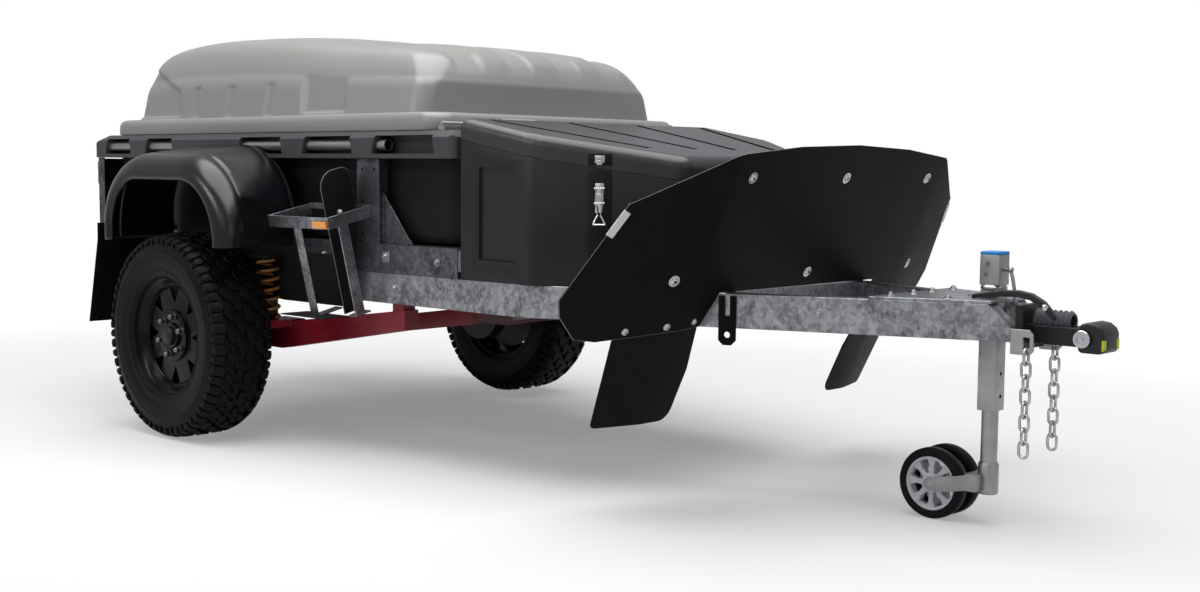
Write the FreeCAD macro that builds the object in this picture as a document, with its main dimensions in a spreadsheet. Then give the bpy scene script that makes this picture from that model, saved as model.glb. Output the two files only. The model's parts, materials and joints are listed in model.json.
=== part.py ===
import FreeCAD, Part
import math
import os
import Sketcher

# Off-road camping trailer with a moulded tub, a hard domed lid, a nose toolbox,
# a stone guard, an A-frame drawbar, a jockey wheel and trailing-arm suspension.
# X runs forward to the coupling, Y to the trailer's left side and Z up.
# Every piece is laid out about the middle of the axle on the ground, then placed
# so that the frame's origin lies under the middle of the whole trailer.

# Driving dimensions in millimetres, each named once

SIZES = {
    # Clearances that every fit shares
    "seat_gap": 0.3,
    "run_gap": 0.05,
    "overrun": 20,
    # Wheels
    "wheel_track": 1631,
    "tyre_radius": 367.5,
    "tyre_half": 120,
    "tyre_wall_radius": 318,
    "tyre_tread_half": 98,
    "tread_deep": 11,
    "tread_groove": 24,
    "bead_radius": 214,
    "rim_half_wide": 98,
    "rim_wall": 7,
    "disc_set": 58,
    "disc_thick": 10,
    "disc_boss_radius": 92,
    "disc_boss": 12,
    "hub_hole": 45,
    "vent_inner": 112,
    "vent_outer": 172,
    "vent_half": 30,
    # Chassis
    "rail_low": 525,
    "rail_high": 100,
    "rail_wide": 50,
    "rail_wall": 4,
    "rail_outer": 600,
    "rail_rear": 1030,
    "bend_x": 1500,
    "nose_ahead": 98,
    "nose_half": 84,
    "nose_cut": 62,
    "cross_wide": 50,
    "cross_high": 80,
    "cross_rear_x": 1005,
    "cross_pivot_x": 905,
    "cross_guard_x": 2048,
    "nose_plate_behind": 262,
    "nose_plate_ahead": 48,
    "nose_plate_thick": 8,
    "channel_high": 95,
    "channel_wide": 120,
    "channel_foot": 48,
    "channel_wall": 5,
    "channel_front": 1215,
    "tie_x": 2090,
    "tie_long": 52,
    "tie_thick": 6,
    "tie_low": 476,
    "tie_top": 618,
    "tie_slot_high": 60,
    "tie_slot_wide": 16,
    "tie_slot_low": 560,
    "tie_hole": 9,
    "tie_hole_low": 30,
    "tie_chamfer": 14,
    # Posts and gussets
    "post_x": 765,
    "post_wide": 118,
    "post_deep": 40,
    "post_wall": 5,
    "gusset_long": 150,
    "gusset_high": 170,
    "gusset_inset": 24,
    "rear_post_wide": 45,
    # Tub
    "tub_half": 545,
    "tub_rear": 1000,
    "tub_front": 1180,
    "tub_wall": 8,
    "tub_corner": 90,
    "tub_keel": 38,
    # Rim round the tub's mouth
    "rim_low": 1004,
    "rim_top": 1094,
    "rim_half": 622,
    "rim_rear": 1022,
    "rim_front": 1216,
    "rim_corner": 24,
    "rim_chamfer": 22,
    "rim_wedge_x": 930,
    "rim_wedge_z": 1058,
    "mouth_half": 528,
    "mouth_rear": 880,
    "mouth_front": 1062,
    "mouth_corner": 60,
    "pocket_deep": 62,
    "pocket_floor": 15,
    "pocket_slant": 14,
    "grab_tube": 19,
    "grab_tube_wall": 2.5,
    "grab_inset": 31,
    "grab_front": 865,
    "grab_rear": 945,
    # Tailgate
    "gate_half": 460,
    "gate_lap": 30,
    "gate_low": 772,
    "gate_thick": 30,
    "gate_gap": 6,
    "gate_corner": 30,
    "gate_pin": 8,
    "gate_hinge_y": 322,
    # Lid
    "lid_lip_half": 600,
    "lid_lip_rear": 905,
    "lid_lip_front": 1110,
    "lid_lip_top": 1155,
    "lid_lip_corner": 74,
    "lid_lip_edge": 24,
    "lid_wall": 6,
    "dome_rear": 775,
    "dome_front": 1002,
    "dome_bow": 28,
    "dome_half": 578,
    "dome_rear_corner": 100,
    "dome_front_corner": 120,
    "crease_half": 550,
    "crease_z": 1258,
    "step_half": 526,
    "step_z": 1296,
    "shoulder_half": 492,
    "shoulder_z": 1450,
    "shoulder_round": 100,
    "roof_rise": 6,
    "dome_rear_lean": 12,
    "roof_rear_z": 1440,
    "roof_rear_round": 55,
    "roof_high_rear": 480,
    "roof_high_front": 170,
    "roof_high_z": 1479,
    "roof_fall_x": 500,
    "roof_fall_z": 1425,
    "roof_front_z": 1378,
    "roof_front_round": 60,
    "roof_front_lean": 6,
    "lid_panel_rear": 356,
    "lid_panel_front": 587,
    "lid_panel_slant": 12,
    "lid_panel_deep": 3,
    # Lid hinges
    "hinge_x": 1140,
    "hinge_z": 1116,
    "hinge_pin": 7,
    "hinge_block": 14,
    "hinge_long": 150,
    "hinge_leaf": 60,
    # Nose toolbox
    "box_rear": 1232,
    "box_shoulder": 1545,
    "box_front": 1930,
    "box_nose_half": 330,
    "box_wall": 7,
    "box_seam_rear": 1062,
    "box_seam_front": 940,
    "box_corner": 45,
    "box_panel_rear": 1316,
    "box_panel_front": 1477,
    "box_panel_low": 690,
    "box_panel_top": 978,
    "box_panel_deep": 3,
    "box_lid_rear_z": 1135,
    "box_lid_front_z": 1012,
    "box_lid_edge": 18,
    "box_lid_skin": 11,
    "box_groove_rear": 1282,
    "box_groove_front": 1745,
    "box_groove_wide": 16,
    "box_groove_deep": 4,
    "box_groove_inner": 170,
    "box_groove_inner_end": 100,
    "box_groove_outer": 520,
    "box_groove_outer_end": 320,
    "box_hinge_y": 420,
    "box_hinge_drop": 28,
    "latch_from_nose": 216,
    "latch_wide": 44,
    "latch_thick": 12,
    "latch_low": 806,
    "latch_top": 930,
    # Stone guard
    "guard_thick": 4,
    "guard_ahead": 200,
    "guard_z": 674,
    "guard_rake": 0.473,
    "guard_fold": 520,
    "guard_sweep": 0.3,
    "guard_half": 925,
    "guard_top": 1052,
    "guard_crown_half": 280,
    "guard_crown_drop": 9,
    "guard_fold_drop": 32,
    "guard_shoulder_half": 547,
    "guard_shoulder_z": 1012,
    "guard_knee_half": 780,
    "guard_knee_z": 903,
    "guard_elbow_half": 819,
    "guard_elbow_z": 886,
    "guard_tail_z": 628,
    "guard_toe_half": 905,
    "guard_toe_z": 580,
    "guard_heel_half": 840,
    "guard_heel_z": 515,
    "guard_wing_low": 504,
    "guard_wing_half": 771,
    "guard_notch_half": 430,
    "guard_notch_z": 530,
    "guard_low": 628,
    "guard_low_half": 395,
    "bracket_wide": 40,
    "bracket_thick": 6,
    "bracket_drop": 60,
    # Flaps
    "front_flap_top": 560,
    "front_flap_low": 240,
    "front_flap_in": 402,
    "front_flap_out": 722,
    "front_flap_low_out": 680,
    "front_flap_grip_in": 440,
    "front_flap_bend": 400,
    "front_flap_corner": 38,
    "flap_thick": 5,
    "rear_flap_low": 385,
    "rear_flap_in": 700,
    "rear_flap_out": 945,
    "rear_flap_grip": 60,
    "rear_flap_rake": 75,
    # Mudguards
    "arch_rear": 405,
    "arch_front": 474,
    "arch_top": 1010,
    "arch_corner": 265,
    "arch_foot_z": 700,
    "arch_outer": 950,
    "arch_inner": 630,
    "arch_wall": 5,
    "arch_lip": 20,
    "arch_rise": 42,
    "arch_draw": 95,
    "stay_wide": 40,
    "stay_thick": 16,
    "stay_front_x": 300,
    # Suspension
    "arm_pivot_x": 905,
    "arm_pivot_z": 468,
    "arm_y": 560,
    "arm_wide": 60,
    "arm_high": 96,
    "arm_pivot_long": 38,
    "arm_pivot_up": 38,
    "arm_pivot_down": 29,
    "arm_tail": 58,
    "brace_pivot_y": 290,
    "brace_wide": 50,
    "brace_high": 60,
    "brace_rear_x": 330,
    "drum_radius": 128,
    "drum_wide": 62,
    "stub_past_disc": 20,
    "shelf_rear_x": 190,
    "shelf_front_x": 312,
    "shelf_low": 402,
    "shelf_thick": 26,
    "shelf_outer": 689,
    "spring_x": 250,
    "spring_y": 644,
    "spring_radius": 37,
    "spring_wire": 11,
    "spring_top": 650,
    "seat_thick": 8,
    "seat_rear_x": 196,
    "seat_front_x": 304,
    "damper_x": 140,
    "damper_radius": 26,
    "damper_rod": 9,
    "damper_rod_show": 18,
    # Jerrycan holders
    "holder_rear": 448,
    "holder_front": 780,
    "holder_half": 785,
    "holder_top": 850,
    "holder_bar": 40,
    "holder_thick": 5,
    "holder_leg_x": 584,
    "holder_low": 500,
    "holder_lean": 13,
    "holder_plate_x": 698,
    "holder_plate_deep": 132,
    "holder_plate_corner": 60,
    "holder_plate_low": 500,
    "holder_plate_thick": 5,
    "holder_plate_top": 985,
    # Jockey wheel
    "jockey_x": 2752,
    "jockey_square": 60,
    "jockey_wall": 3,
    "jockey_fit": 0.3,
    "jockey_low": 322,
    "jockey_guide": 10,
    "jockey_top": 660,
    "jockey_head": 74,
    "jockey_head_top": 752,
    "jockey_cap": 10,
    "jockey_cap_chamfer": 5,
    "jockey_inner": 23,
    "jockey_inner_low": 176,
    "jockey_inner_top": 510,
    "crank_radius": 7,
    "crank_drop": 37,
    "crank_reach": 28,
    "crank_arm": 95,
    "jwheel_radius": 101,
    "jwheel_wide": 46,
    "jwheel_gap": 30,
    "jwheel_trail": 150,
    "fork_gap": 4,
    "fork_crown": 0.4,
    "fork_pin": 10,
    "fork_drop": 30,
    # Coupling and brake lever
    "coupling_plate_long": 24,
    "coupling_plate_half": 64,
    "coupling_reach": 170,
    "coupling_head_long": 72,
    "coupling_low": 505,
    "coupling_head_low": 512,
    "coupling_head_top": 582,
    "coupling_head_half": 48,
    "coupling_corner": 16,
    "coupling_neck_half": 34,
    "coupling_neck_inset": 10,
    "coupling_pin": 17,
    "tow_pin": 13,
    "lever_thick": 10,
    "lever_y": 38,
    "lever_clear": 4,
    "lever_rise": 30,
    "lever_past": 84,
    # Safety chains
    "chain_y": 83,
    "chain_bar": 8,
    "chain_wide": 34,
    "chain_long": 52,
    "lug_long": 66,
    "lug_reach": 46,
    "lug_chamfer": 12,
    "lug_thick": 8,
    "lug_low": 494,
    "lug_top": 562,
    "lug_slot_half": 10,
    "lug_slot_low": 508,
    "lug_slot_high": 34,
    # Lamps
    "lamp_long": 95,
    "lamp_thick": 16,
    "lamp_low": 894,
    "lamp_inner": 522,
    "lamp_corner": 12,
    "marker_long": 72,
    "marker_high": 22,
    "marker_thick": 8,
}
class Size:
    """A length that carries both its number and the sheet formula that gives it."""

    def __init__(self, number, formula):
        self.number = number
        self.formula = formula

    @staticmethod
    def of(other):
        if isinstance(other, Size):
            return other
        return Size(float(other), repr(float(other)))

    def join(self, other, sign, number):
        return Size(number, "(" + self.formula + " " + sign + " " + other.formula + ")")

    def __add__(self, other):
        other = Size.of(other)
        return self.join(other, "+", self.number + other.number)

    def __radd__(self, other):
        return Size.of(other) + self

    def __sub__(self, other):
        other = Size.of(other)
        return self.join(other, "-", self.number - other.number)

    def __rsub__(self, other):
        return Size.of(other) - self

    def __mul__(self, other):
        other = Size.of(other)
        return self.join(other, "*", self.number * other.number)

    def __rmul__(self, other):
        return Size.of(other) * self

    def __truediv__(self, other):
        other = Size.of(other)
        return self.join(other, "/", self.number / other.number)

    def __neg__(self):
        return Size.of(0) - self

    def __float__(self):
        return float(self.number)


class Table:
    """The sheet's sizes as attributes."""


doc = FreeCAD.newDocument("trailer")
sheet = doc.addObject("Spreadsheet::Sheet", "sizes")
size = Table()
for row, (word, number) in enumerate(SIZES.items(), start=1):
    sheet.set("A" + str(row), word)
    sheet.set("B" + str(row), str(number))
    sheet.setAlias("B" + str(row), word)
    setattr(size, word, Size(float(number), "sizes." + word))
doc.recompute()


ZERO = Size.of(0)
HALF_SHARE = 0.5
FULL_TURN = 360
QUARTER_TURN = 90
size.nose_x = size.jockey_x + size.nose_ahead
size.nose_plate_rear = size.jockey_x - size.nose_plate_behind
size.nose_plate_front = size.jockey_x + size.nose_plate_ahead
size.coupling_plate_front = size.nose_x + size.coupling_plate_long
size.coupling_pin_x = size.nose_x + size.coupling_reach
size.coupling_head_front = size.coupling_pin_x + size.coupling_head_long
size.lever_tip_x = size.coupling_plate_front + size.lever_past
axle_x = (size.coupling_head_front - size.rail_rear - size.lamp_thick) * -HALF_SHARE
rail_top = size.rail_low + size.rail_high
channel_top = rail_top + size.channel_high
rail_inner = size.rail_outer - size.rail_wide
arm_taper = (size.rail_outer - size.nose_half) / (size.nose_x - size.bend_x)
hub_y = size.wheel_track * HALF_SHARE
NODES = {}


def point(x, y, z):
    return FreeCAD.Vector(float(x), float(y), float(z))


def bind(thing, prop, value):
    """Ties one property of an object to the sheet."""
    value = Size.of(value)
    thing.setExpression(prop, value.formula)


def place(thing, x, y, z):
    bind(thing, "Placement.Base.x", x)
    bind(thing, "Placement.Base.y", y)
    bind(thing, "Placement.Base.z", z)
    return thing


def block(name, corner, spans):
    """A rectangular block from its lowest corner and its three spans."""
    thing = doc.addObject("Part::Box", name)
    bind(thing, "Length", spans[0])
    bind(thing, "Width", spans[1])
    bind(thing, "Height", spans[2])
    return place(thing, *corner)


TURNS = {"X": (0, 1, 0), "Y": (-1, 0, 0), "Z": (0, 0, 1)}


def rod(name, base, radius, length, axis):
    """A round bar that starts at base and runs along plus X, Y or Z."""
    thing = doc.addObject("Part::Cylinder", name)
    bind(thing, "Radius", radius)
    bind(thing, "Height", length)
    if axis != "Z":
        turn = FreeCAD.Rotation(point(*TURNS[axis]), QUARTER_TURN)
        thing.Placement = FreeCAD.Placement(point(0, 0, 0), turn)
    return place(thing, *base)


def cut(name, base, tool):
    thing = doc.addObject("Part::Cut", name)
    thing.Base = base
    thing.Tool = tool
    return thing


def shared(name, base, tool):
    """What two forms have in common."""
    thing = doc.addObject("Part::Common", name)
    thing.Base = base
    thing.Tool = tool
    return thing


def fuse(name, parts):
    thing = doc.addObject("Part::MultiFuse", name)
    thing.Shapes = parts
    return thing


def group(name, parts):
    """Several solids held as one shape, untouched."""
    thing = doc.addObject("Part::Compound", name)
    thing.Links = parts
    return thing


def mirrored(name, source):
    """The same piece on the other side of the trailer."""
    thing = doc.addObject("Part::Mirroring", name)
    thing.Source = source
    thing.Normal = (0, 1, 0)
    return thing


def both_sides(name, source):
    return group(name, [source, mirrored(name + "_far", source)])


def made(name, shape):
    """A shape worked out with Part's own functions from the sheet's sizes."""
    thing = doc.addObject("Part::Feature", name)
    thing.Shape = shape
    return thing


def node(name, parts):
    """One kept piece: its parts, placed in the trailer's frame."""
    thing = group(name, parts)
    thing.Label = name
    place(thing, axle_x, ZERO, ZERO)
    NODES[name] = thing
    return thing


def new_body(name):
    return doc.addObject("PartDesign::Body", name)


def outline(body, name, plane, points, offset=ZERO):
    """A closed sketch of straight edges whose every corner is tied to the sheet."""
    sketch = body.newObject("Sketcher::SketchObject", name)
    role = plane + "_Plane"
    face = [item for item in body.Origin.OriginFeatures if item.Role == role][0]
    sketch.AttachmentSupport = (face, [""])
    sketch.MapMode = "FlatFace"
    bind(sketch, "AttachmentOffset.Base.z", offset)
    count = len(points)
    places = [point(u, v, 0) for u, v in points]
    for index in range(count):
        following = places[(index + 1) % count]
        sketch.addGeometry(Part.LineSegment(places[index], following), False)
    for index in range(count):
        following = (index + 1) % count
        sketch.addConstraint(Sketcher.Constraint("Coincident", index, 2, following, 1))
    for index, (u, v) in enumerate(points):
        for way, value in (("DistanceX", u), ("DistanceY", v)):
            label = way + str(index)
            rule = Sketcher.Constraint(way, -1, 1, index, 1, float(value))
            sketch.renameConstraint(sketch.addConstraint(rule), label)
            bind(sketch, "Constraints." + label, value)
    return sketch


def pad(body, name, sketch, length):
    feature = body.newObject("PartDesign::Pad", name)
    feature.Profile = sketch
    bind(feature, "Length", length)
    return feature


def pocket(body, name, sketch, length):
    """A cut as deep as length, half of it on each side of the sketch."""
    feature = body.newObject("PartDesign::Pocket", name)
    feature.Profile = sketch
    feature.SideType = "Symmetric"
    bind(feature, "Length", length)
    return feature


def repeated(body, name, feature, axis, count):
    """A feature set evenly round the wheel's axis."""
    pattern = body.newObject("PartDesign::PolarPattern", name)
    pattern.Originals = [feature]
    pattern.Axis = axis
    pattern.Angle = FULL_TURN
    pattern.Occurrences = int(count)
    body.Tip = pattern
    return pattern


def plate(name, plane, points, offset, length):
    """A flat profile given its thickness, starting at offset along the plane's normal."""
    body = new_body(name)
    pad(body, name + "_pad", outline(body, name + "_sketch", plane, points, offset), length)
    return body


def turned(name, points):
    """A profile of (radius, y) corners turned about the wheel's axis, on the ground."""
    body = new_body(name)
    sketch = outline(body, name + "_sketch", "XY", points)
    feature = body.newObject("PartDesign::Revolution", name + "_turn")
    feature.Profile = sketch
    feature.ReferenceAxis = (sketch, ["V_Axis"])
    feature.Angle = FULL_TURN
    return body


CHAIN_LINKS = 8
CORNER_STEPS = 6
EDGE_SHARE = 0.293
LAYS = {
    "XY": (lambda mark, start: point(mark.x, mark.y, start), (0, 0, 1)),
    "XZ": (lambda mark, start: point(mark.x, start, mark.y), (0, 1, 0)),
    "YZ": (lambda mark, start: point(start, mark.x, mark.y), (1, 0, 0)),
}


def soft_wire(corners, plane, start):
    """A closed wire through (u, v, radius) corners, each rounded by its own arc."""
    lay = LAYS[plane][0]
    marks = [point(u, v, 0) for u, v, radius in corners]
    count = len(marks)
    arcs = []
    for index, (u, v, radius) in enumerate(corners):
        here = marks[index]
        back = (marks[index - 1] - here).normalize()
        onward = (marks[(index + 1) % count] - here).normalize()
        half_turn = back.getAngle(onward) * HALF_SHARE
        reach = float(radius) / math.tan(half_turn)
        middle = (back + onward).normalize() * (float(radius) / math.sin(half_turn) - float(radius))
        arcs.append((here + back * reach, here + middle, here + onward * reach, float(radius) > 0))
    edges = []
    for index, (first, middle, last, is_round) in enumerate(arcs):
        if is_round:
            edges.append(Part.Arc(lay(first, start), lay(middle, start), lay(last, start)).toShape())
        following = arcs[(index + 1) % count][0]
        edges.append(Part.LineSegment(lay(last, start), lay(following, start)).toShape())
    return Part.Wire(edges)


def soft_prism(corners, plane, start, length):
    """A rounded profile drawn out along its plane's normal."""
    way = point(*LAYS[plane][1])
    return Part.Face(soft_wire(corners, plane, float(start))).extrude(way * float(length))


def even_sides(corners):
    """Adds the mirror image of a half profile, so that it closes evenly about the middle."""
    return corners + [(-u, v, radius) for u, v, radius in reversed(corners)]


def soft_points(corners):
    """The points of a rounded profile, with short straight runs round each corner."""
    marks = []
    count = len(corners)
    for index, (u, v, radius) in enumerate(corners):
        here = point(u, v, 0)
        back = (point(*corners[index - 1][:2], 0) - here).normalize()
        onward = (point(*corners[(index + 1) % count][:2], 0) - here).normalize()
        if float(radius) <= 0:
            marks.append(here)
            continue
        half_turn = back.getAngle(onward) * HALF_SHARE
        middle = here + (back + onward).normalize() * (float(radius) / math.sin(half_turn))
        first = here + back * (float(radius) / math.tan(half_turn)) - middle
        last = here + onward * (float(radius) / math.tan(half_turn)) - middle
        whole = first.getAngle(last)
        for step in range(CORNER_STEPS + 1):
            share = step / CORNER_STEPS
            spread = first * math.sin((1 - share) * whole) + last * math.sin(share * whole)
            marks.append(middle + spread * (1 / math.sin(whole)))
    return marks


def box_corners(rear, front, half, corner):
    return [(rear, -half, corner), (front, -half, corner), (front, half, corner), (rear, half, corner)]


def stacked(plan, levels):
    """A solid skinned over a plan taken at several (inset, height) levels."""
    return joined([[point(mark.x, mark.y, height) for mark in soft_points(plan(inset))]
                   for inset, height in levels])


def joined(rings):
    """A solid skinned over matching rings of points whose sides lie flat."""
    faces = []
    for ring in (rings[0], rings[-1]):
        faces.append(Part.Face(Part.makePolygon(ring + [ring[0]])))
    for first, second in zip(rings, rings[1:]):
        for index in range(len(first)):
            following = (index + 1) % len(first)
            marks = [first[index], first[following], second[following], second[index]]
            faces.append(Part.Face(Part.makePolygon(marks + [marks[0]])))
    shell = Part.makeShell(faces)
    shell.sewShape()
    solid = Part.makeSolid(shell)
    if solid.Volume < 0:
        solid.reverse()
    return solid


def tube_x(name, corner, spans, wall):
    """A square box section open along X."""
    outer = block(name + "_outer", corner, spans)
    inner = block(
        name + "_inner",
        (corner[0] - wall, corner[1] + wall, corner[2] + wall),
        (spans[0] + wall * 2, spans[1] - wall * 2, spans[2] - wall * 2),
    )
    return cut(name, outer, inner)


# Wheels

TREAD_GROOVES = 18
WHEEL_VENTS = 8


def make_tyre():
    """A carcass whose tread is parted by grooves that run down over both shoulders."""
    half = size.tyre_half
    edge = size.tyre_tread_half
    body = turned("tyre_carcass", [
        (size.bead_radius, -half),
        (size.tyre_wall_radius, -half),
        (size.tyre_radius, -edge),
        (size.tyre_radius, edge),
        (size.tyre_wall_radius, half),
        (size.bead_radius, half),
    ])
    floor = size.tyre_radius - size.tread_deep
    past = size.tyre_radius + size.overrun
    foot = size.tyre_wall_radius - size.tread_deep
    sketch = outline(body, "tread_sketch", "YZ", [
        (-half - size.overrun, foot),
        (-half, foot),
        (-edge, floor),
        (edge, floor),
        (half, foot),
        (half + size.overrun, foot),
        (half + size.overrun, past),
        (-half - size.overrun, past),
    ])
    sketch.AttachmentOffset = FreeCAD.Placement(
        point(0, 0, 0), FreeCAD.Rotation(point(1, 0, 0), FULL_TURN * HALF_SHARE / TREAD_GROOVES))
    groove = pocket(body, "tread_groove", sketch, size.tread_groove)
    repeated(body, "tread_ring", groove, (sketch, ["H_Axis"]), TREAD_GROOVES)
    return place(body, ZERO, -hub_y, size.tyre_radius)


def make_rim():
    """A steel wheel: straight barrel, vented disc and raised middle."""
    bead = size.bead_radius - size.seat_gap
    seat = bead - size.rim_wall
    half = size.rim_half_wide
    barrel = turned("rim_barrel", [(seat, -half), (bead, -half), (bead, half), (seat, half)])
    place(barrel, ZERO, -hub_y, size.tyre_radius)
    face = -size.disc_set
    back = face + size.disc_thick
    boss = face - size.disc_boss
    disc = turned("rim_disc", [
        (size.hub_hole, back),
        (size.hub_hole, boss),
        (size.disc_boss_radius, boss),
        (size.disc_boss_radius, face),
        (seat + size.rim_wall * HALF_SHARE, face),
        (seat + size.rim_wall * HALF_SHARE, back),
    ])
    sketch = outline(disc, "rim_vent_sketch", "XZ", [
        (-size.vent_half, size.vent_outer),
        (size.vent_half, size.vent_outer),
        (ZERO, size.vent_inner),
    ])
    vent = pocket(disc, "rim_vent", sketch, size.tyre_half * 2)
    repeated(disc, "rim_vents", vent, (sketch, ["N_Axis"]), WHEEL_VENTS)
    place(disc, ZERO, -hub_y, size.tyre_radius)
    return fuse("rim_whole", [barrel, disc])


def make_wheels():
    tyre = make_tyre()
    rim = make_rim()
    node("tyre_near", [tyre])
    node("tyre_far", [mirrored("tyre_mirrored", tyre)])
    node("rim_near", [rim])
    node("rim_far", [mirrored("rim_mirrored", rim)])


# Chassis

def arm_half_at(x):
    """Half the width over the drawbar arms at a given distance forward."""
    return size.rail_outer - (x - size.bend_x) * arm_taper


def make_rails():
    rail = tube_x(
        "rail_near",
        (-size.rail_rear, -size.rail_outer, size.rail_low),
        (size.rail_rear + size.bend_x, size.rail_wide, size.rail_high),
        size.rail_wall,
    )
    node("main_rails", [both_sides("rails", rail)])

    arm = plate("arm_outer", "XY", [
        (size.bend_x, -size.rail_outer),
        (size.nose_x, -size.nose_half),
        (size.nose_x, -size.nose_half + size.rail_wide),
        (size.bend_x, -rail_inner),
    ], size.rail_low, size.rail_high)
    nose = plate("arm_nose", "XZ", [
        (size.nose_x - size.nose_cut, rail_top + size.rail_wall),
        (size.nose_x + size.rail_wall, rail_top + size.rail_wall),
        (size.nose_x + size.rail_wall, rail_top - size.nose_cut),
        (size.nose_x, rail_top - size.nose_cut),
    ], ZERO, size.rail_outer)
    node("drawbar_arms", [both_sides("arms", cut("arm_near", arm, nose))])


def make_cross_members():
    wide = size.cross_wide
    crosses = []
    for label, x in (
        ("rear", -size.cross_rear_x),
        ("pivot", size.cross_pivot_x),
        ("mid", size.bend_x - wide * HALF_SHARE),
    ):
        crosses.append(block(
            "cross_" + label,
            (x - wide * HALF_SHARE, -rail_inner, size.rail_low),
            (wide, rail_inner * 2, size.cross_high),
        ))
    guard_x = size.cross_guard_x
    reach = arm_half_at(guard_x) - size.rail_wide
    reach_front = arm_half_at(guard_x + wide) - size.rail_wide
    crosses.append(plate("cross_guard", "XY", [
        (guard_x, -reach),
        (guard_x + wide, -reach_front),
        (guard_x + wide, reach_front),
        (guard_x, reach),
    ], rail_top - size.cross_high, size.cross_high))
    node("cross_members", [group("crosses", crosses)])


def make_nose_plate():
    rear = size.nose_plate_rear
    front = size.nose_plate_front
    tongue = plate("tongue", "XY", [
        (rear, -arm_half_at(rear)),
        (front, -arm_half_at(front)),
        (front, arm_half_at(front)),
        (rear, arm_half_at(rear)),
    ], rail_top, size.nose_plate_thick)
    half = size.jockey_square * HALF_SHARE + size.jockey_fit
    hole = block(
        "tongue_hole",
        (size.jockey_x - half, -half, size.rail_low),
        (half * 2, half * 2, size.rail_high * 2),
    )
    node("nose_plate", [cut("tongue_cut", tongue, hole)])


def make_channels():
    wall = size.channel_wall
    outer = -size.rail_outer
    channel = plate("channel_near", "YZ", [
        (outer, rail_top),
        (outer + size.channel_foot, rail_top),
        (outer + size.channel_foot, rail_top + wall),
        (outer + wall, rail_top + wall),
        (outer + wall, channel_top - wall),
        (outer + size.channel_wide, channel_top - wall),
        (outer + size.channel_wide, channel_top),
        (outer, channel_top),
    ], -size.rail_rear, size.rail_rear + size.channel_front)
    node("side_channels", [both_sides("channels", channel)])


def make_ties():
    """A slotted plate on the outer face of each drawbar arm, turned to lie along it."""
    bevel = float(size.tie_chamfer)
    long = float(size.tie_long)
    low = float(size.tie_low)
    top = float(size.tie_top)
    thick = float(size.tie_thick)
    sheet = soft_prism([
        (bevel, low, 0), (long - bevel, low, 0), (long, low + bevel, 0),
        (long, top, 0), (0, top, 0), (0, low + bevel, 0),
    ], "XZ", -thick, thick)
    middle = long * HALF_SHARE
    slot_half = float(size.tie_slot_wide) * HALF_SHARE
    slot_low = float(size.tie_slot_low)
    slot_top = slot_low + float(size.tie_slot_high)
    slot = soft_prism([
        (middle - slot_half, slot_low, 0), (middle + slot_half, slot_low, 0),
        (middle + slot_half, slot_top, 0), (middle - slot_half, slot_top, 0),
    ], "XZ", -thick * 2, thick * 3)
    hole = Part.makeCylinder(
        float(size.tie_hole), thick * 3, point(middle, -thick * 2, low + float(size.tie_hole_low)),
        point(0, 1, 0))
    sheet = sheet.cut(slot).cut(hole)
    sheet.rotate(point(0, 0, 0), point(0, 0, 1), math.degrees(math.atan(float(arm_taper))))
    seat = float(arm_half_at(size.tie_x) + size.seat_gap)
    sheet.translate(point(size.tie_x, -seat, 0))
    node("tie_brackets", [both_sides("tie_pair", made("tie_near", sheet))])


def make_chassis():
    make_rails()
    make_cross_members()
    make_nose_plate()
    make_channels()
    make_ties()


def make_posts():
    top = size.rim_low - size.seat_gap
    foot = channel_top
    rear_x = size.post_x - size.post_wide * HALF_SHARE
    front_x = size.post_x + size.post_wide * HALF_SHARE
    outer = -size.rail_outer
    wall = size.post_wall
    post = plate("post_near", "XY", [
        (rear_x, outer),
        (front_x, outer),
        (front_x, outer + size.post_deep),
        (front_x - wall, outer + size.post_deep),
        (front_x - wall, outer + wall),
        (rear_x, outer + wall),
    ], foot, top - foot)
    gusset = plate("gusset_near", "XZ", [
        (front_x, foot),
        (front_x + size.gusset_long, foot),
        (front_x, foot + size.gusset_high),
    ], size.rail_outer - size.gusset_inset, wall)
    rear = block(
        "rear_post_near",
        (-size.rail_rear, outer, foot),
        (size.rear_post_wide, wall, top - foot),
    )
    node("side_posts", [both_sides("posts", fuse("post_and_gusset", [post, gusset]))])
    node("rear_posts", [both_sides("rear_post_pair", rear)])


# Tub, rim and rails round it

REAR_POCKET_SHARES = ((-0.91, -0.714), (-0.607, -0.406))
FRONT_POCKET_SHARES = ((0.025, 0.251), (0.349, 0.581), (0.668, 0.93))


def tub_plan(inset):
    corner = float(size.tub_corner) - inset
    return box_corners(-float(size.tub_rear) + inset, float(size.tub_front) - inset,
                       float(size.tub_half) - inset, corner)


def tub_form(inset, rise):
    """The tub's outside, or its inside at the given inset, with corners and keel rounded."""
    low = float(channel_top + size.seat_gap) + inset
    top = float(size.rim_low - size.seat_gap) + rise
    keel = float(size.tub_keel) - inset
    return stacked(tub_plan, [
        (inset + keel, low),
        (inset + keel * EDGE_SHARE, low + keel * EDGE_SHARE),
        (inset, low + keel),
        (inset, top),
    ])


def make_tub():
    wall = float(size.tub_wall)
    tray = made("tub_tray", tub_form(0, 0).cut(tub_form(wall, wall)))
    gate_in = size.gate_half - size.gate_lap
    opening = block(
        "gate_opening",
        (-size.tub_rear - size.tub_wall, -gate_in, size.gate_low + size.gate_lap),
        (size.tub_wall * 3, gate_in * 2, size.rim_low - size.gate_low - size.gate_lap * 2),
    )
    node("tub", [cut("tub_cut", tray, opening)])


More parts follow.
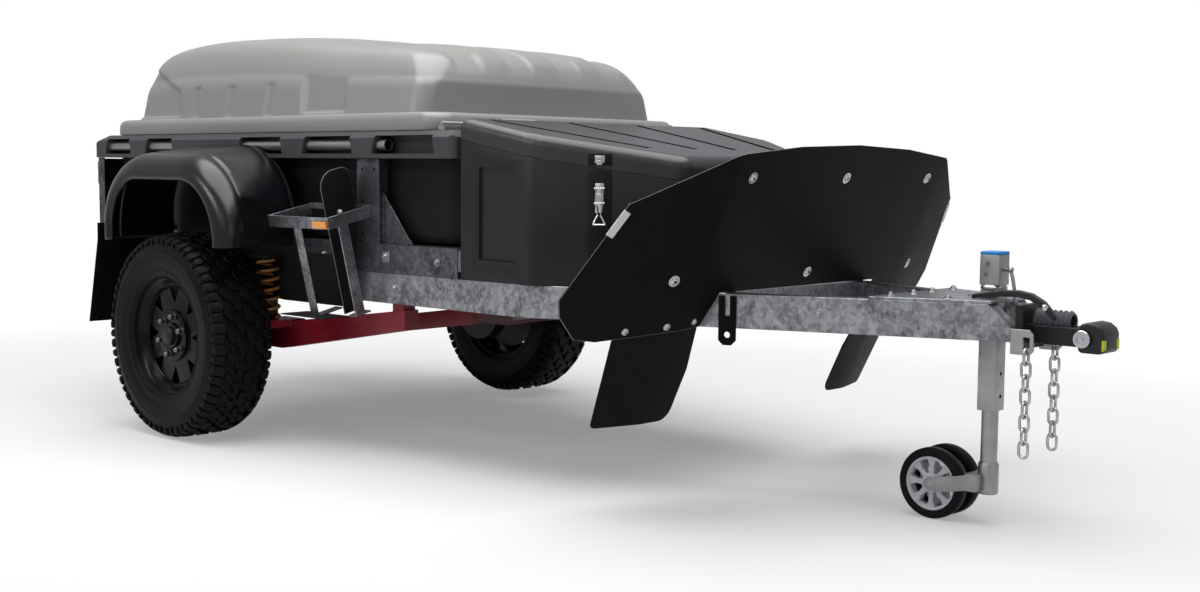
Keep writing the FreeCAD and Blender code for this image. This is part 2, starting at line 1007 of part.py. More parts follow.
def rim_ring():
    """The rim is what its plan, its side view and its front view have in common."""
    low = float(size.rim_low)
    top = float(size.rim_top)
    rear = -float(size.rim_rear)
    front = float(size.rim_front)
    half = float(size.rim_half)
    bevel = float(size.rim_chamfer)
    round_ = float(size.rim_corner)
    past = float(size.overrun)
    plan = soft_prism([
        (rear, -half, round_), (front, -half, round_), (front, half, round_), (rear, half, round_),
    ], "XY", low, top - low)
    side = soft_prism([
        (rear, low, 0), (front, low, 0), (front, top - bevel, 0), (front - bevel, top, 0),
        (-float(size.rim_wedge_x), top, 0), (rear, float(size.rim_wedge_z), 0),
    ], "XZ", -half - past, (half + past) * 2)
    ahead = soft_prism(even_sides([
        (half, low, 0), (half, top - bevel, 0), (half - bevel, top, 0),
    ]), "YZ", rear - past, front - rear + past * 2)
    mouth_round = float(size.mouth_corner)
    mouth_half = float(size.mouth_half)
    mouth = soft_prism([
        (-float(size.mouth_rear), -mouth_half, mouth_round),
        (float(size.mouth_front), -mouth_half, mouth_round),
        (float(size.mouth_front), mouth_half, mouth_round),
        (-float(size.mouth_rear), mouth_half, mouth_round),
    ], "XY", low - past, top - low + past * 2)
    return plan.common(side).common(ahead).cut(mouth)


def make_rim_ring():
    low = size.rim_low + size.pocket_floor
    top = size.rim_top - size.pocket_floor
    spans = [(size.rim_rear * start, size.rim_rear * end) for start, end in REAR_POCKET_SHARES]
    spans += [(size.rim_front * start, size.rim_front * end) for start, end in FRONT_POCKET_SHARES]
    recesses = []
    for index, (start, end) in enumerate(spans):
        recesses.append(plate("rim_pocket_" + str(index), "XZ", [
            (start, low),
            (end, low),
            (end - size.pocket_slant, top),
            (start + size.pocket_slant, top),
        ], size.rim_half - size.pocket_deep, size.pocket_deep + size.overrun))
    pockets = both_sides("rim_pockets", group("rim_pockets_near", recesses))
    start = (-size.grab_rear, -size.rim_half + size.grab_inset, (size.rim_low + size.rim_top) * HALF_SHARE)
    length = size.grab_rear + size.grab_front
    hole = rod("tube_hole", start, size.grab_tube + size.seat_gap, length, "X")
    opened = cut("rim_with_pockets", made("rim_form", rim_ring()), pockets)
    node("tub_rim", [cut("rim_drilled", opened, both_sides("tube_holes", hole))])
    tube = cut(
        "grab_tube_near",
        rod("grab_solid", start, size.grab_tube, length, "X"),
        rod("grab_bore", start, size.grab_tube - size.grab_tube_wall, length, "X"),
    )
    node("grab_tubes", [both_sides("grab_pair", tube)])


def make_tailgate():
    top = float(size.rim_low - size.gate_gap)
    outer_x = -size.tub_rear - size.seat_gap - size.gate_thick
    half = float(size.gate_half)
    corner = float(size.gate_corner)
    low = float(size.gate_low)
    panel = soft_prism(even_sides([(half, low, corner), (half, top, corner)]), "YZ",
                       outer_x, size.gate_thick)
    node("tailgate", [made("gate_panel", panel)])
    pins = []
    for label, y in (("near", -size.gate_hinge_y), ("far", size.gate_hinge_y - size.hinge_long)):
        pins.append(rod(
            "gate_pin_" + label,
            (-size.tub_rear - size.seat_gap - size.gate_pin, y,
             size.gate_low - size.gate_pin - size.seat_gap),
            size.gate_pin, size.hinge_long, "Y"))
    node("gate_hinges", pins)


# Lid

def lid_plan(inset):
    corner = float(size.lid_lip_corner) - inset
    return box_corners(-float(size.lid_lip_rear) + inset, float(size.lid_lip_front) - inset,
                       float(size.lid_lip_half) - inset, corner)


def lid_slab(inset, low):
    """The lid's flat lip, rounded at its corners and along its top edge."""
    top = float(size.lid_lip_top) - inset
    edge = float(size.lid_lip_edge) - inset
    return stacked(lid_plan, [
        (inset, low),
        (inset, top - edge),
        (inset + edge * EDGE_SHARE, top - edge * EDGE_SHARE),
        (inset + edge, top),
    ])


def lid_dome(inset):
    """The dome is what its plan, its side view and its front view have in common."""
    low = float(size.lid_lip_top) - float(size.lid_lip_edge)
    past = float(size.overrun)
    rear = -float(size.dome_rear) + inset
    front = float(size.dome_front) - inset
    nose = front + float(size.dome_bow)
    half = float(size.dome_half) - inset
    top = float(size.roof_high_z) - inset
    rear_round = float(size.dome_rear_corner) - inset
    front_round = float(size.dome_front_corner) - inset
    plan = soft_prism([
        (rear, -half, rear_round), (front, -half, front_round), (nose, 0, front_round),
        (front, half, front_round), (rear, half, rear_round),
    ], "XY", low, top - low + past)
    lean = float(size.dome_rear_lean)
    bow = float(size.roof_front_lean)
    side = soft_prism([
        (rear - past, low, 0),
        (nose + past, low, 0),
        (nose, float(size.lid_lip_top), 0),
        (nose - bow, float(size.roof_front_z) - inset, float(size.roof_front_round) - inset),
        (float(size.roof_fall_x), float(size.roof_fall_z) - inset, 0),
        (float(size.roof_high_front), top, 0),
        (-float(size.roof_high_rear), top, 0),
        (rear + lean, float(size.roof_rear_z) - inset, float(size.roof_rear_round) - inset),
        (rear, float(size.lid_lip_top), 0),
    ], "XZ", -half - past, (half + past) * 2)
    shoulder = float(size.shoulder_round) - inset
    ahead = soft_prism([
        (-half, low, 0),
        (half, low, 0),
        (float(size.crease_half) - inset, float(size.crease_z), 0),
        (float(size.step_half) - inset, float(size.step_z), 0),
        (float(size.shoulder_half) - inset, float(size.shoulder_z) - inset, shoulder),
        (0, top + float(size.roof_rise), 0),
        (-float(size.shoulder_half) + inset, float(size.shoulder_z) - inset, shoulder),
        (-float(size.step_half) + inset, float(size.step_z), 0),
        (-float(size.crease_half) + inset, float(size.crease_z), 0),
    ], "YZ", rear - past, nose - rear + past * 2)
    return plan.common(side).common(ahead)


def lid_panels():
    """The shallow panel pressed into each side of the dome, between its foot and its crease."""
    slant = float(size.lid_panel_slant)
    rear = float(size.lid_panel_rear)
    front = float(size.lid_panel_front)
    low = float(size.lid_lip_top) + slant
    top = float(size.crease_z) - slant
    half = float(size.dome_half) + float(size.overrun)
    column = soft_prism([
        (rear + slant, low, 0), (front + slant, low, 0), (front - slant, top, 0), (rear - slant, top, 0),
    ], "XZ", -half, half * 2)
    return column.cut(lid_dome(float(size.lid_panel_deep)))


def make_lid_shell():
    wall = float(size.lid_wall)
    low = float(size.rim_top + size.seat_gap)
    outer = lid_slab(0, low).fuse(lid_dome(0)).cut(lid_panels())
    inner = lid_slab(wall, low - wall).fuse(lid_dome(wall))
    node("lid_shell", [made("lid_moulding", outer.cut(inner).removeSplitter())])


def make_lid_hinges():
    half = size.lid_lip_half
    pin = size.hinge_pin
    knuckles = []
    blocks = []
    for label, y, leaf_y in (
        ("near", -half, -half + size.hinge_long - size.hinge_leaf),
        ("far", half - size.hinge_long, half - size.hinge_long),
    ):
        rod_part = rod("lid_knuckle_" + label, (size.hinge_x, y, size.hinge_z), pin, size.hinge_long, "Y")
        leaf = block(
            "lid_leaf_" + label,
            (size.lid_lip_front, leaf_y, size.hinge_z - pin * HALF_SHARE),
            (size.hinge_x - size.lid_lip_front, size.hinge_leaf, pin),
        )
        knuckles.append(fuse("lid_hinge_" + label, [rod_part, leaf]))
        blocks.append(block(
            "lid_hinge_block_" + label,
            (size.hinge_x - size.hinge_block, y, size.rim_top),
            (size.hinge_block * 2, size.hinge_long,
             size.hinge_z - pin - size.seat_gap - size.rim_top),
        ))
    node("lid_hinges", knuckles)
    node("hinge_blocks", blocks)


# Nose toolbox

def box_plan(inset):
    """The toolbox from above, every side moved in by the same inset."""
    turn = math.atan2(float(size.rail_outer - size.box_nose_half), float(size.box_front - size.box_shoulder))
    corner = float(size.box_corner) - inset
    rear = float(size.box_rear) + inset
    front = float(size.box_front) - inset
    half = float(size.rail_outer) - inset
    shoulder = float(size.box_shoulder) - inset * math.tan(turn * HALF_SHARE)
    nose = float(size.box_nose_half) - inset * math.tan((math.pi * HALF_SHARE - turn) * HALF_SHARE)
    return [
        (rear, -half, 0), (shoulder, -half, corner), (front, -nose, corner),
        (front, nose, corner), (shoulder, half, corner), (rear, half, 0),
    ]


def box_wedge(low_rear, low_front, top_rear, top_front):
    """The side view of the box between two lines that fall towards the nose."""
    past = float(size.overrun)
    rear = float(size.box_rear)
    front = float(size.box_front)
    half = float(size.rail_outer) + past
    fall = past / (front - rear)

    def ahead(at_rear, at_front):
        return at_front + (at_front - at_rear) * fall

    def behind(at_rear, at_front):
        return at_rear - (at_front - at_rear) * fall

    return soft_prism([
        (rear - past, behind(low_rear, low_front), 0), (front + past, ahead(low_rear, low_front), 0),
        (front + past, ahead(top_rear, top_front), 0), (rear - past, behind(top_rear, top_front), 0),
    ], "XZ", -half, half * 2)


def side_recesses():
    """A shallow panel in each side wall of the toolbox."""
    rear = float(size.box_panel_rear)
    front = float(size.box_panel_front)
    low = float(size.box_panel_low)
    top = float(size.box_panel_top)
    deep = float(size.box_panel_deep)
    half = float(size.rail_outer)
    corners = [(rear, low, deep), (front, low, deep), (front, top, deep), (rear, top, deep)]
    near = soft_prism(corners, "XZ", -half - deep, deep * 2)
    far = soft_prism(corners, "XZ", half - deep, deep * 2)
    return near.fuse(far)


def make_box_body():
    low = float(rail_top + size.seat_gap)
    wall = float(size.box_wall)
    height = float(size.box_lid_rear_z) - low
    seam = (float(size.box_seam_rear), float(size.box_seam_front))
    outer = soft_prism(box_plan(0), "XY", low, height).common(box_wedge(low - wall, low - wall, *seam))
    hollow = soft_prism(box_plan(wall), "XY", low + wall, height)
    node("front_box", [made("box_moulding", outer.cut(hollow).cut(side_recesses()))])


def lid_grooves(top):
    """Four grooves along the toolbox lid that draw together towards the nose."""
    deep = float(size.box_groove_deep)
    half = float(size.box_groove_wide) * HALF_SHARE
    rear = float(size.box_groove_rear)
    front = float(size.box_groove_front)
    past = float(size.overrun)
    band = box_wedge(top[0] - deep, top[1] - deep, top[0] + past, top[1] + past)
    grooves = []
    for start, end in (
        (float(size.box_groove_inner), float(size.box_groove_inner_end)),
        (float(size.box_groove_outer), float(size.box_groove_outer_end)),
    ):
        for sign in (-1, 1):
            column = soft_prism([
                (rear, start * sign - half, 0), (front, end * sign - half, 0),
                (front, end * sign + half, 0), (rear, start * sign + half, 0),
            ], "XY", top[1] - past, top[0] - top[1] + past * 2)
            grooves.append(column.common(band))
    return grooves[0].multiFuse(grooves[1:])


def make_box_lid():
    gap = float(size.seat_gap)
    skin = float(size.box_lid_skin)
    wall = float(size.box_wall)
    low = float(rail_top)
    height = float(size.box_lid_rear_z) + skin - low
    seam = (float(size.box_seam_rear) + gap, float(size.box_seam_front) + gap)
    top = (float(size.box_lid_rear_z), float(size.box_lid_front_z))
    edge = float(size.box_lid_edge)
    rings = []
    for inset, drop in ((0, None), (0, edge), (edge * EDGE_SHARE, edge * EDGE_SHARE), (edge, 0)):
        ring = []
        for mark in soft_points(box_plan(inset)):
            share = (mark.x - float(size.box_rear)) / float(size.box_front - size.box_rear)
            line = seam if drop is None else (top[0] - drop, top[1] - drop)
            ring.append(point(mark.x, mark.y, line[0] + (line[1] - line[0]) * share))
        rings.append(ring)
    outer = joined(rings)
    hollow = soft_prism(box_plan(wall), "XY", low, height)
    hollow = hollow.common(box_wedge(seam[0] - skin, seam[1] - skin, top[0] - skin, top[1] - skin))
    node("box_lid", [made("box_lid_moulding", outer.cut(hollow).cut(lid_grooves(top)))])


def make_box_hinges():
    pin = size.hinge_pin
    hinge_z = size.box_lid_rear_z - pin
    hinge_x = size.box_rear - pin - size.seat_gap
    foot = size.box_seam_rear - size.box_hinge_drop
    pieces = []
    for label, y in (("near", -size.box_hinge_y), ("far", size.box_hinge_y - size.hinge_long)):
        knuckle = rod("box_knuckle_" + label, (hinge_x, y, hinge_z), pin, size.hinge_long, "Y")
        leaf = block("box_leaf_" + label, (hinge_x, y, foot), (pin, size.hinge_long, hinge_z - foot))
        pieces.append(fuse("box_hinge_" + label, [knuckle, leaf]))
    node("box_hinges", pieces)


def make_latches():
    """A catch plate on each slanted side of the toolbox, under its lid."""
    run_x = size.box_front - size.box_shoulder
    run_y = size.rail_outer - size.box_nose_half
    run = math.hypot(float(run_x), float(run_y))
    along = (run_x / run, run_y / run)
    start = size.latch_from_nose
    gap = size.seat_gap

    def at(back, out):
        x = size.box_front - along[0] * back + along[1] * out
        y = -size.box_nose_half - along[1] * back - along[0] * out
        return (x, y)

    latch = plate("latch_near", "XY", [
        at(start, gap),
        at(start + size.latch_wide, gap),
        at(start + size.latch_wide, gap + size.latch_thick),
        at(start, gap + size.latch_thick),
    ], size.latch_low, size.latch_top - size.latch_low)
    node("box_latches", [both_sides("latch_pair", latch)])


# Stone guard and flaps

guard_x = size.box_front + size.guard_ahead


def guard_x_at(z):
    return guard_x + (z - size.guard_z) * size.guard_rake


GUARD_OUTLINE = (
    ("guard_shoulder_half", "guard_shoulder_z"),
    ("guard_knee_half", "guard_knee_z"),
    ("guard_elbow_half", "guard_elbow_z"),
    ("guard_half", "guard_tail_z"),
    ("guard_toe_half", "guard_toe_z"),
    ("guard_heel_half", "guard_heel_z"),
    ("guard_wing_half", "guard_wing_low"),
    ("guard_notch_half", "guard_notch_z"),
    ("guard_low_half", "guard_low"),
)


def guard_point(y, z, back):
    """A place on the guard's raked and folded plane, or behind it."""
    x = float(guard_x_at(z)) - max(0.0, abs(y) - float(size.guard_fold)) * float(size.guard_sweep)
    return point(x - back, y, z)


def guard_sheet(ys, low, top, back, thick):
    """A folded sheet that lies along the guard's plane, from one height to another."""

    def outline_at(z):
        front = [guard_point(y, z, back) for y in ys]
        rear = [guard_point(y, z, back + thick) for y in reversed(ys)]
        return front + rear

    return joined([outline_at(low), outline_at(top)])


def make_guard():
    """A raked sheet, folded where its wings sweep back, cut to its outline."""
    fold = float(size.guard_fold)
    half = float(size.guard_half)
    top = float(size.guard_top)
    folded = guard_sheet((-half, -fold, fold, half), float(size.guard_wing_low), top,
                         0.0, float(size.guard_thick))
    right = [(float(getattr(size, y)), float(getattr(size, z))) for y, z in GUARD_OUTLINE]
    rise = [(float(size.guard_crown_half), top - float(size.guard_crown_drop)),
            (fold, top - float(size.guard_fold_drop))]
    side = rise + right
    pattern = [(0.0, top)] + side + [(-y, z) for y, z in reversed(side)]
    start = guard_x - size.guard_half
    places = [point(start, y, z) for y, z in pattern]
    mask = Part.Face(Part.makePolygon(places + [places[0]])).extrude(point(half * 2, 0, 0))
    node("stone_guard", [made("guard_form", folded.common(mask))])


def make_guard_brackets():
    foot = rail_top
    head = size.guard_top - size.guard_fold_drop - size.bracket_drop
    back = size.guard_thick + size.seat_gap
    upright = plate("guard_upright_near", "XZ", [
        (guard_x_at(foot) - back - size.bracket_wide, foot),
        (guard_x_at(foot) - back, foot),
        (guard_x_at(head) - back, head),
        (guard_x_at(head) - back - size.bracket_thick, head),
    ], arm_half_at(guard_x) - size.rail_wide, size.bracket_wide)
    node("guard_brackets", [both_sides("guard_upright_pair", upright)])


def make_flaps():
    thick = size.flap_thick
    low = float(size.front_flap_low)
    top = float(size.front_flap_top)
    inner = float(size.front_flap_in)
    outer = float(size.front_flap_out)
    corner = float(size.front_flap_corner)
    seat = float(size.guard_thick + size.seat_gap)
    folded = guard_sheet((-outer, -float(size.guard_fold), -inner), low, top, seat, float(thick))
    shape = soft_prism([
        (-outer, top, 0), (-float(size.front_flap_grip_in), top, 0),
        (-inner, float(size.front_flap_bend), 0), (-inner, low, corner),
        (-float(size.front_flap_low_out), low, corner * HALF_SHARE),
    ], "YZ", float(guard_x - size.guard_half), float(size.guard_half) * 2)
    flap = made("front_flap_near", folded.common(shape))
    node("front_flaps", [both_sides("front_flap_pair", flap)])

    top_x = -size.arch_rear - size.seat_gap
    low_x = top_x - size.rear_flap_rake
    bend = size.arch_foot_z
    rear = plate("rear_flap_near", "XZ", [
        (top_x, bend + size.rear_flap_grip),
        (top_x - thick, bend + size.rear_flap_grip),
        (top_x - thick, bend),
        (low_x - thick, size.rear_flap_low),
        (low_x, size.rear_flap_low),
        (top_x, bend),
    ], size.rear_flap_in, size.rear_flap_out - size.rear_flap_in)
    node("rear_flaps", [both_sides("rear_flap_pair", rear)])


# Mudguards

ARCH_STEPS = 9


def arch_points(y, top, rear, front, foot, inset):
    """One arch line at a given y: two legs, two round corners and a flat crown."""
    corner = float(size.arch_corner) - inset
    left = rear + inset
    right = front - inset
    crown = top - inset
    marks = [point(left, y, foot)]
    for middle, start in ((left + corner, math.pi), (right - corner, math.pi * HALF_SHARE)):
        for index in range(ARCH_STEPS + 1):
            turn = start - math.pi * HALF_SHARE * index / ARCH_STEPS
            rise = crown - corner + corner * math.sin(turn)
            marks.append(point(middle + corner * math.cos(turn), y, rise))
    marks.append(point(right, y, foot))
    return marks


def make_mudguards():
    """A flared arch: low at its outer lip, higher and shorter at the tub."""
    wall = float(size.arch_wall)
    foot = float(size.arch_foot_z)
    rear = -float(size.arch_rear)
    front = float(size.arch_front)
    top = float(size.arch_top)
    outer_y = float(size.arch_outer)
    inner_y = float(size.arch_inner)
    rise = float(size.arch_rise)
    draw = float(size.arch_draw)

    def form(inset, low, y_in, y_out):
        return joined([
            arch_points(y_in, top + rise, rear, front - draw, low, inset),
            arch_points(y_out, top, rear, front, low, inset),
        ])

    lip_y = outer_y - wall
    shell = form(0, foot, inner_y, outer_y)
    shell = shell.cut(form(wall, foot - wall, inner_y + wall, lip_y))
    shell = shell.cut(form(wall + float(size.arch_lip), foot - wall * 2, lip_y - wall, outer_y + wall))
    near = shell.mirror(point(0, 0, 0), point(0, 1, 0))
    node("mudguard_far", [made("mudguard_far_form", shell)])
    node("mudguard_near", [made("mudguard_near_form", near)])

    stays = []
    for label, x in (("rear", -size.arch_rear + size.arch_wall), ("front", size.stay_front_x)):
        stays.append(block(
            "stay_" + label,
            (x, -size.arch_inner + size.seat_gap, size.arch_foot_z),
            (size.stay_wide, size.arch_inner - size.seat_gap - size.rail_outer, size.stay_thick),
        ))
    node("mudguard_stays", [both_sides("stay_pairs", group("stays_near", stays))])


# Suspension

COIL_TURNS = 6
COIL_STEPS = 8


def make_arms():
    """Outer leg to the hub, inner leg to its own pivot and a shelf for the spring."""
    hub_z = size.tyre_radius
    half_high = size.arm_high * HALF_SHARE
    front = size.arm_pivot_x + size.arm_pivot_long
    leg_outer = -size.arm_y - size.arm_wide * HALF_SHARE
    leg_inner = -size.arm_y + size.arm_wide * HALF_SHARE
    leg = plate("arm_near_leg", "XZ", [
        (front, size.arm_pivot_z - size.arm_pivot_down),
        (front, size.arm_pivot_z + size.arm_pivot_up),
        (size.spring_x, hub_z + half_high),
        (-size.arm_tail, hub_z + half_high),
        (-size.arm_tail, hub_z - half_high),
        (size.spring_x, hub_z - half_high),
    ], -leg_inner, size.arm_wide)
    hangers = []
    for label, y in (("outer", leg_outer + size.rail_wall), ("inner", -size.brace_pivot_y)):
        hangers.append(block(
            "hanger_" + label,
            (size.arm_pivot_x - size.arm_pivot_down, y, size.arm_pivot_z),
            (size.arm_pivot_down * 2, size.rail_wide, size.rail_low - size.arm_pivot_z),
        ))
    high = float(size.brace_high) * HALF_SHARE

    def section(x, y, z):
        wide = float(size.brace_wide)
        return [point(x, y, z - high), point(x, y + wide, z - high),
                point(x, y + wide, z + high), point(x, y, z + high)]

    run = float(size.brace_rear_x - size.spring_x) / float(front - size.spring_x)
    middle = float(hub_z) + float(size.arm_pivot_z - hub_z) * run
    brace = joined([
        section(float(size.brace_rear_x), float(leg_inner) - float(size.rail_wall), middle),
        section(float(front), -float(size.brace_pivot_y), float(size.arm_pivot_z)),
    ])
    shelf = block(
        "spring_shelf",
        (size.shelf_rear_x, -size.shelf_outer, size.shelf_low),
        (size.shelf_front_x - size.shelf_rear_x, size.shelf_outer + leg_inner, size.shelf_thick),
    )
    whole = fuse("arm_near_whole", [leg, made("arm_near_brace", brace), shelf] + hangers)
    node("trailing_arms", [both_sides("arm_pair", whole)])


def make_hubs():
    hub_z = size.tyre_radius
    inner = size.arm_y + size.arm_wide * HALF_SHARE
    outer = hub_y + size.disc_set + size.stub_past_disc
    drum = rod("drum_near", (ZERO, -inner - size.drum_wide, hub_z), size.drum_radius, size.drum_wide, "Y")
    stub = rod("stub_near", (ZERO, -outer, hub_z), size.hub_hole - size.seat_gap, outer - inner, "Y")
    node("hubs", [both_sides("hub_pair", fuse("hub_near", [drum, stub]))])


def make_springs():
    """A coil of square wire, its ends laid level on the shelf and under the upper seat."""
    half = float(size.spring_wire) * HALF_SHARE
    low = float(size.shelf_low + size.shelf_thick + size.seat_gap) + half
    top = float(size.spring_top - size.seat_gap) - half
    radius = float(size.spring_radius)
    rings = []
    count = COIL_TURNS * COIL_STEPS
    for index in range(count + 1):
        turn = 2 * math.pi * index / COIL_STEPS
        share = (index - COIL_STEPS * HALF_SHARE) / (count - COIL_STEPS)
        height = low + (top - low) * min(1, max(0, share))
        marks = []
        for out, up in ((-half, -half), (half, -half), (half, half), (-half, half)):
            marks.append(point(
                float(size.spring_x) + (radius + out) * math.cos(turn),
                -float(size.spring_y) + (radius + out) * math.sin(turn),
                height + up))
        rings.append(Part.makePolygon(marks + [marks[0]]))
    coil = made("coil_near", Part.makeLoft(rings, True, True))
    node("coil_springs", [both_sides("coil_pair", coil)])
    seat = block(
        "spring_seat_near",
        (size.seat_rear_x, -size.shelf_outer, size.spring_top),
        (size.seat_front_x - size.seat_rear_x,
         size.shelf_outer - size.rail_outer - size.seat_gap, size.seat_thick),
    )
    node("spring_seats", [both_sides("spring_seat_pair", seat)])


def make_dampers():
    low = size.tyre_radius + size.arm_high * HALF_SHARE + size.seat_gap
    stem = rod("damper_rod_near", (size.damper_x, -size.arm_y, low),
               size.damper_rod, size.rail_low - low, "Z")
    body = rod("damper_body_near", (size.damper_x, -size.arm_y, low + size.rail_wall),
               size.damper_radius, size.rail_low - low - size.rail_wall - size.damper_rod_show, "Z")
    node("dampers", [both_sides("damper_pair", fuse("damper_near", [body, stem]))])


def make_suspension():
    make_arms()
    make_hubs()
    make_springs()
    make_dampers()


# Jerrycan holders

def make_holders():
    """A ring on two legs with a backing panel, the whole leaning out from the rail."""
    wall = float(size.holder_thick)
    bar = float(size.holder_bar)
    gap = float(size.seat_gap)
    inner = float(size.rail_outer)
    outer = float(size.holder_half)
    rear = float(size.holder_rear)
    front = float(size.holder_front)
    top = float(size.holder_top)
    low = float(size.holder_low)
    past = float(size.overrun)

    def bars(u0, u1, v0, v1, w0, w1):
        return Part.makeBox(u1 - u0, v1 - v0, w1 - w0, point(u0, v0, w0))

    def leaning(shape):
        """Turned about the ring's upper inner edge, then trimmed to stand clear of the rail."""
        shape.rotate(point(0, -inner, top), point(1, 0, 0), float(size.holder_lean))
        return shape.common(bars(rear - past, front + past, -outer - bar, -inner - gap, low - bar,
                                 float(size.holder_plate_top) + bar))

    ring = bars(rear, front, -outer, -inner, top - bar, top)
    ring = ring.cut(bars(rear + wall, front - wall, -outer + wall, -inner - wall,
                         top - bar - wall, top + wall))
    leg_x = float(size.holder_leg_x)
    outer_leg = bars(leg_x, leg_x + bar, -outer, -outer + wall, low, top - bar + wall)
    front_leg = bars(front - wall, front, -outer + bar, -outer + bar * 2, low, top - bar + wall)
    sill = bars(leg_x, leg_x + bar, -outer, -inner + bar, low, low + wall)
    toe = bars(front - bar, front, -outer + bar, -inner + bar, low, low + wall)
    frame = ring.fuse([outer_leg, front_leg, sill, toe]).removeSplitter()
    node("can_holders", [both_sides("holder_pair", made("holder_near_frame", leaning(frame)))])
    depth = float(size.holder_plate_deep)
    bevel = float(size.holder_plate_corner)
    plate_top = float(size.holder_plate_top)
    plate_low = float(size.holder_plate_low)
    panel = soft_prism([
        (-inner - depth, plate_low, 0), (-inner - wall - gap, plate_low, 0),
        (-inner - wall - gap, plate_top, bevel * HALF_SHARE), (-inner - depth, plate_top, bevel),
    ], "YZ", float(size.holder_plate_x), float(size.holder_plate_thick))
    node("holder_plates", [both_sides("plate_pair", made("holder_plate_near", leaning(panel)))])


# Jockey wheel

def square_post(name, half, low, high):
    return block(name, (size.jockey_x - half, -half, low), (half * 2, half * 2, high - low))


def make_jockey_case():
    half = size.jockey_square * HALF_SHARE
    wall = size.jockey_wall
    low = size.jockey_low
    sleeve = cut(
        "jockey_sleeve",
        square_post("jockey_sleeve_outer", half, low, size.jockey_top),
        square_post("jockey_sleeve_inner", half - wall, low - wall, size.jockey_top + wall),
    )
    head_half = size.jockey_head * HALF_SHARE
    head = square_post("jockey_head_block", head_half, size.jockey_top, size.jockey_head_top)
    guide = cut(
        "jockey_guide",
        square_post("jockey_guide_block", half, low, low + size.jockey_guide),
        rod("jockey_guide_bore", (size.jockey_x, ZERO, low - size.jockey_guide),
            size.jockey_inner + size.run_gap, size.jockey_guide * 3, "Z"),
    )
    node("jockey_case", [fuse("jockey_case_whole", [sleeve, guide, head])])
    cap_top = size.jockey_head_top + size.jockey_cap
    bevel = size.jockey_cap_chamfer
    cap = plate("jockey_cap_block", "XZ", [
        (size.jockey_x - head_half, size.jockey_head_top),
        (size.jockey_x + head_half, size.jockey_head_top),
        (size.jockey_x + head_half, cap_top - bevel),
        (size.jockey_x + head_half - bevel, cap_top),
        (size.jockey_x - head_half + bevel, cap_top),
        (size.jockey_x - head_half, cap_top - bevel),
    ], -head_half, head_half * 2)
    node("jockey_cap", [cap])
    crank_z = size.jockey_head_top - size.crank_drop
    head_x = size.jockey_x + head_half
    arm_x = head_x + size.crank_reach
    spindle = rod("crank_spindle", (head_x, ZERO, crank_z), size.crank_radius, size.crank_reach, "X")
    arm = rod("crank_arm_rod", (arm_x, ZERO, crank_z - size.crank_arm),
              size.crank_radius, size.crank_arm, "Z")
    node("jockey_crank", [fuse("crank_whole", [spindle, arm])])
    stem = rod("jockey_stem_rod", (size.jockey_x, ZERO, size.jockey_inner_low), size.jockey_inner,
               size.jockey_inner_top - size.jockey_inner_low, "Z")
    node("jockey_stem", [stem])


def make_jockey_wheels():
    wheel_x = size.jockey_x - size.jwheel_trail
    wheel_z = size.jwheel_radius
    gap_half = size.jwheel_gap * HALF_SHARE
    crown = size.jockey_inner_low - size.fork_crown
    foot = size.fork_pin * 2
    stem = size.jockey_inner
    fork = plate("fork_side", "XZ", [
        (wheel_x - foot, wheel_z - foot),
        (wheel_x + foot, wheel_z - foot),
        (size.jockey_x + stem, crown - size.fork_drop),
        (size.jockey_x + stem, crown),
        (size.jockey_x - stem, crown),
        (wheel_x - foot, wheel_z + foot),
    ], -gap_half + size.fork_gap, (gap_half - size.fork_gap) * 2)
    axle_half = gap_half + size.jwheel_wide
    pin = rod("fork_axle", (wheel_x, -axle_half, wheel_z), size.fork_pin, axle_half * 2, "Y")
    node("jockey_fork", [fuse("jockey_fork_whole", [fork, pin])])
    bore = size.fork_pin + size.run_gap
    wheels = []
    for label, sign in (("near", -1), ("far", 1)):
        start = gap_half * sign
        end = axle_half * sign
        wheel = turned("jockey_wheel_" + label, [
            (bore, start),
            (size.jwheel_radius, start),
            (size.jwheel_radius, end),
            (bore, end),
        ])
        wheels.append(place(wheel, wheel_x, ZERO, wheel_z))
    node("jockey_wheels", [group("jockey_wheel_pair", wheels)])


# Coupling, lever and chains

def make_coupling():
    throat = size.coupling_head_half
    base_half = size.coupling_plate_half
    head_low = size.coupling_head_low
    head_top = size.coupling_head_top
    base = block("coupling_base_block",
                 (size.nose_x + size.seat_gap, -base_half, size.coupling_low),
                 (size.coupling_plate_front - size.nose_x, base_half * 2, rail_top - size.coupling_low))
    inset = size.coupling_neck_inset
    neck = block("coupling_neck",
                 (size.coupling_plate_front, -size.coupling_neck_half, head_low + inset),
                 (size.coupling_pin_x - size.coupling_plate_front, size.coupling_neck_half * 2,
                  head_top - head_low - inset * 2))
    node("coupling_base", [fuse("coupling_base_whole", [base, neck])])
    corner = float(size.coupling_corner)
    front = float(size.coupling_head_front)
    half = float(throat)
    form = soft_prism([
        (size.coupling_pin_x, -half, 0), (front, -half, corner), (front, half, corner),
        (size.coupling_pin_x, half, 0),
    ], "XY", head_low, head_top - head_low)
    bore = rod("coupling_bore", (size.coupling_head_front - throat, ZERO, head_low - throat),
               size.tow_pin, throat * 4, "Z")
    node("coupling_head", [cut("coupling_head_cut", made("coupling_head_form", form), bore)])
    pin = rod("coupling_pin_near",
              (size.coupling_pin_x + size.coupling_pin, -throat - size.seat_gap - size.coupling_pin,
               (head_low + head_top) * HALF_SHARE),
              size.coupling_pin, size.coupling_pin, "Y")
    node("coupling_pins", [both_sides("coupling_pin_pair", pin)])


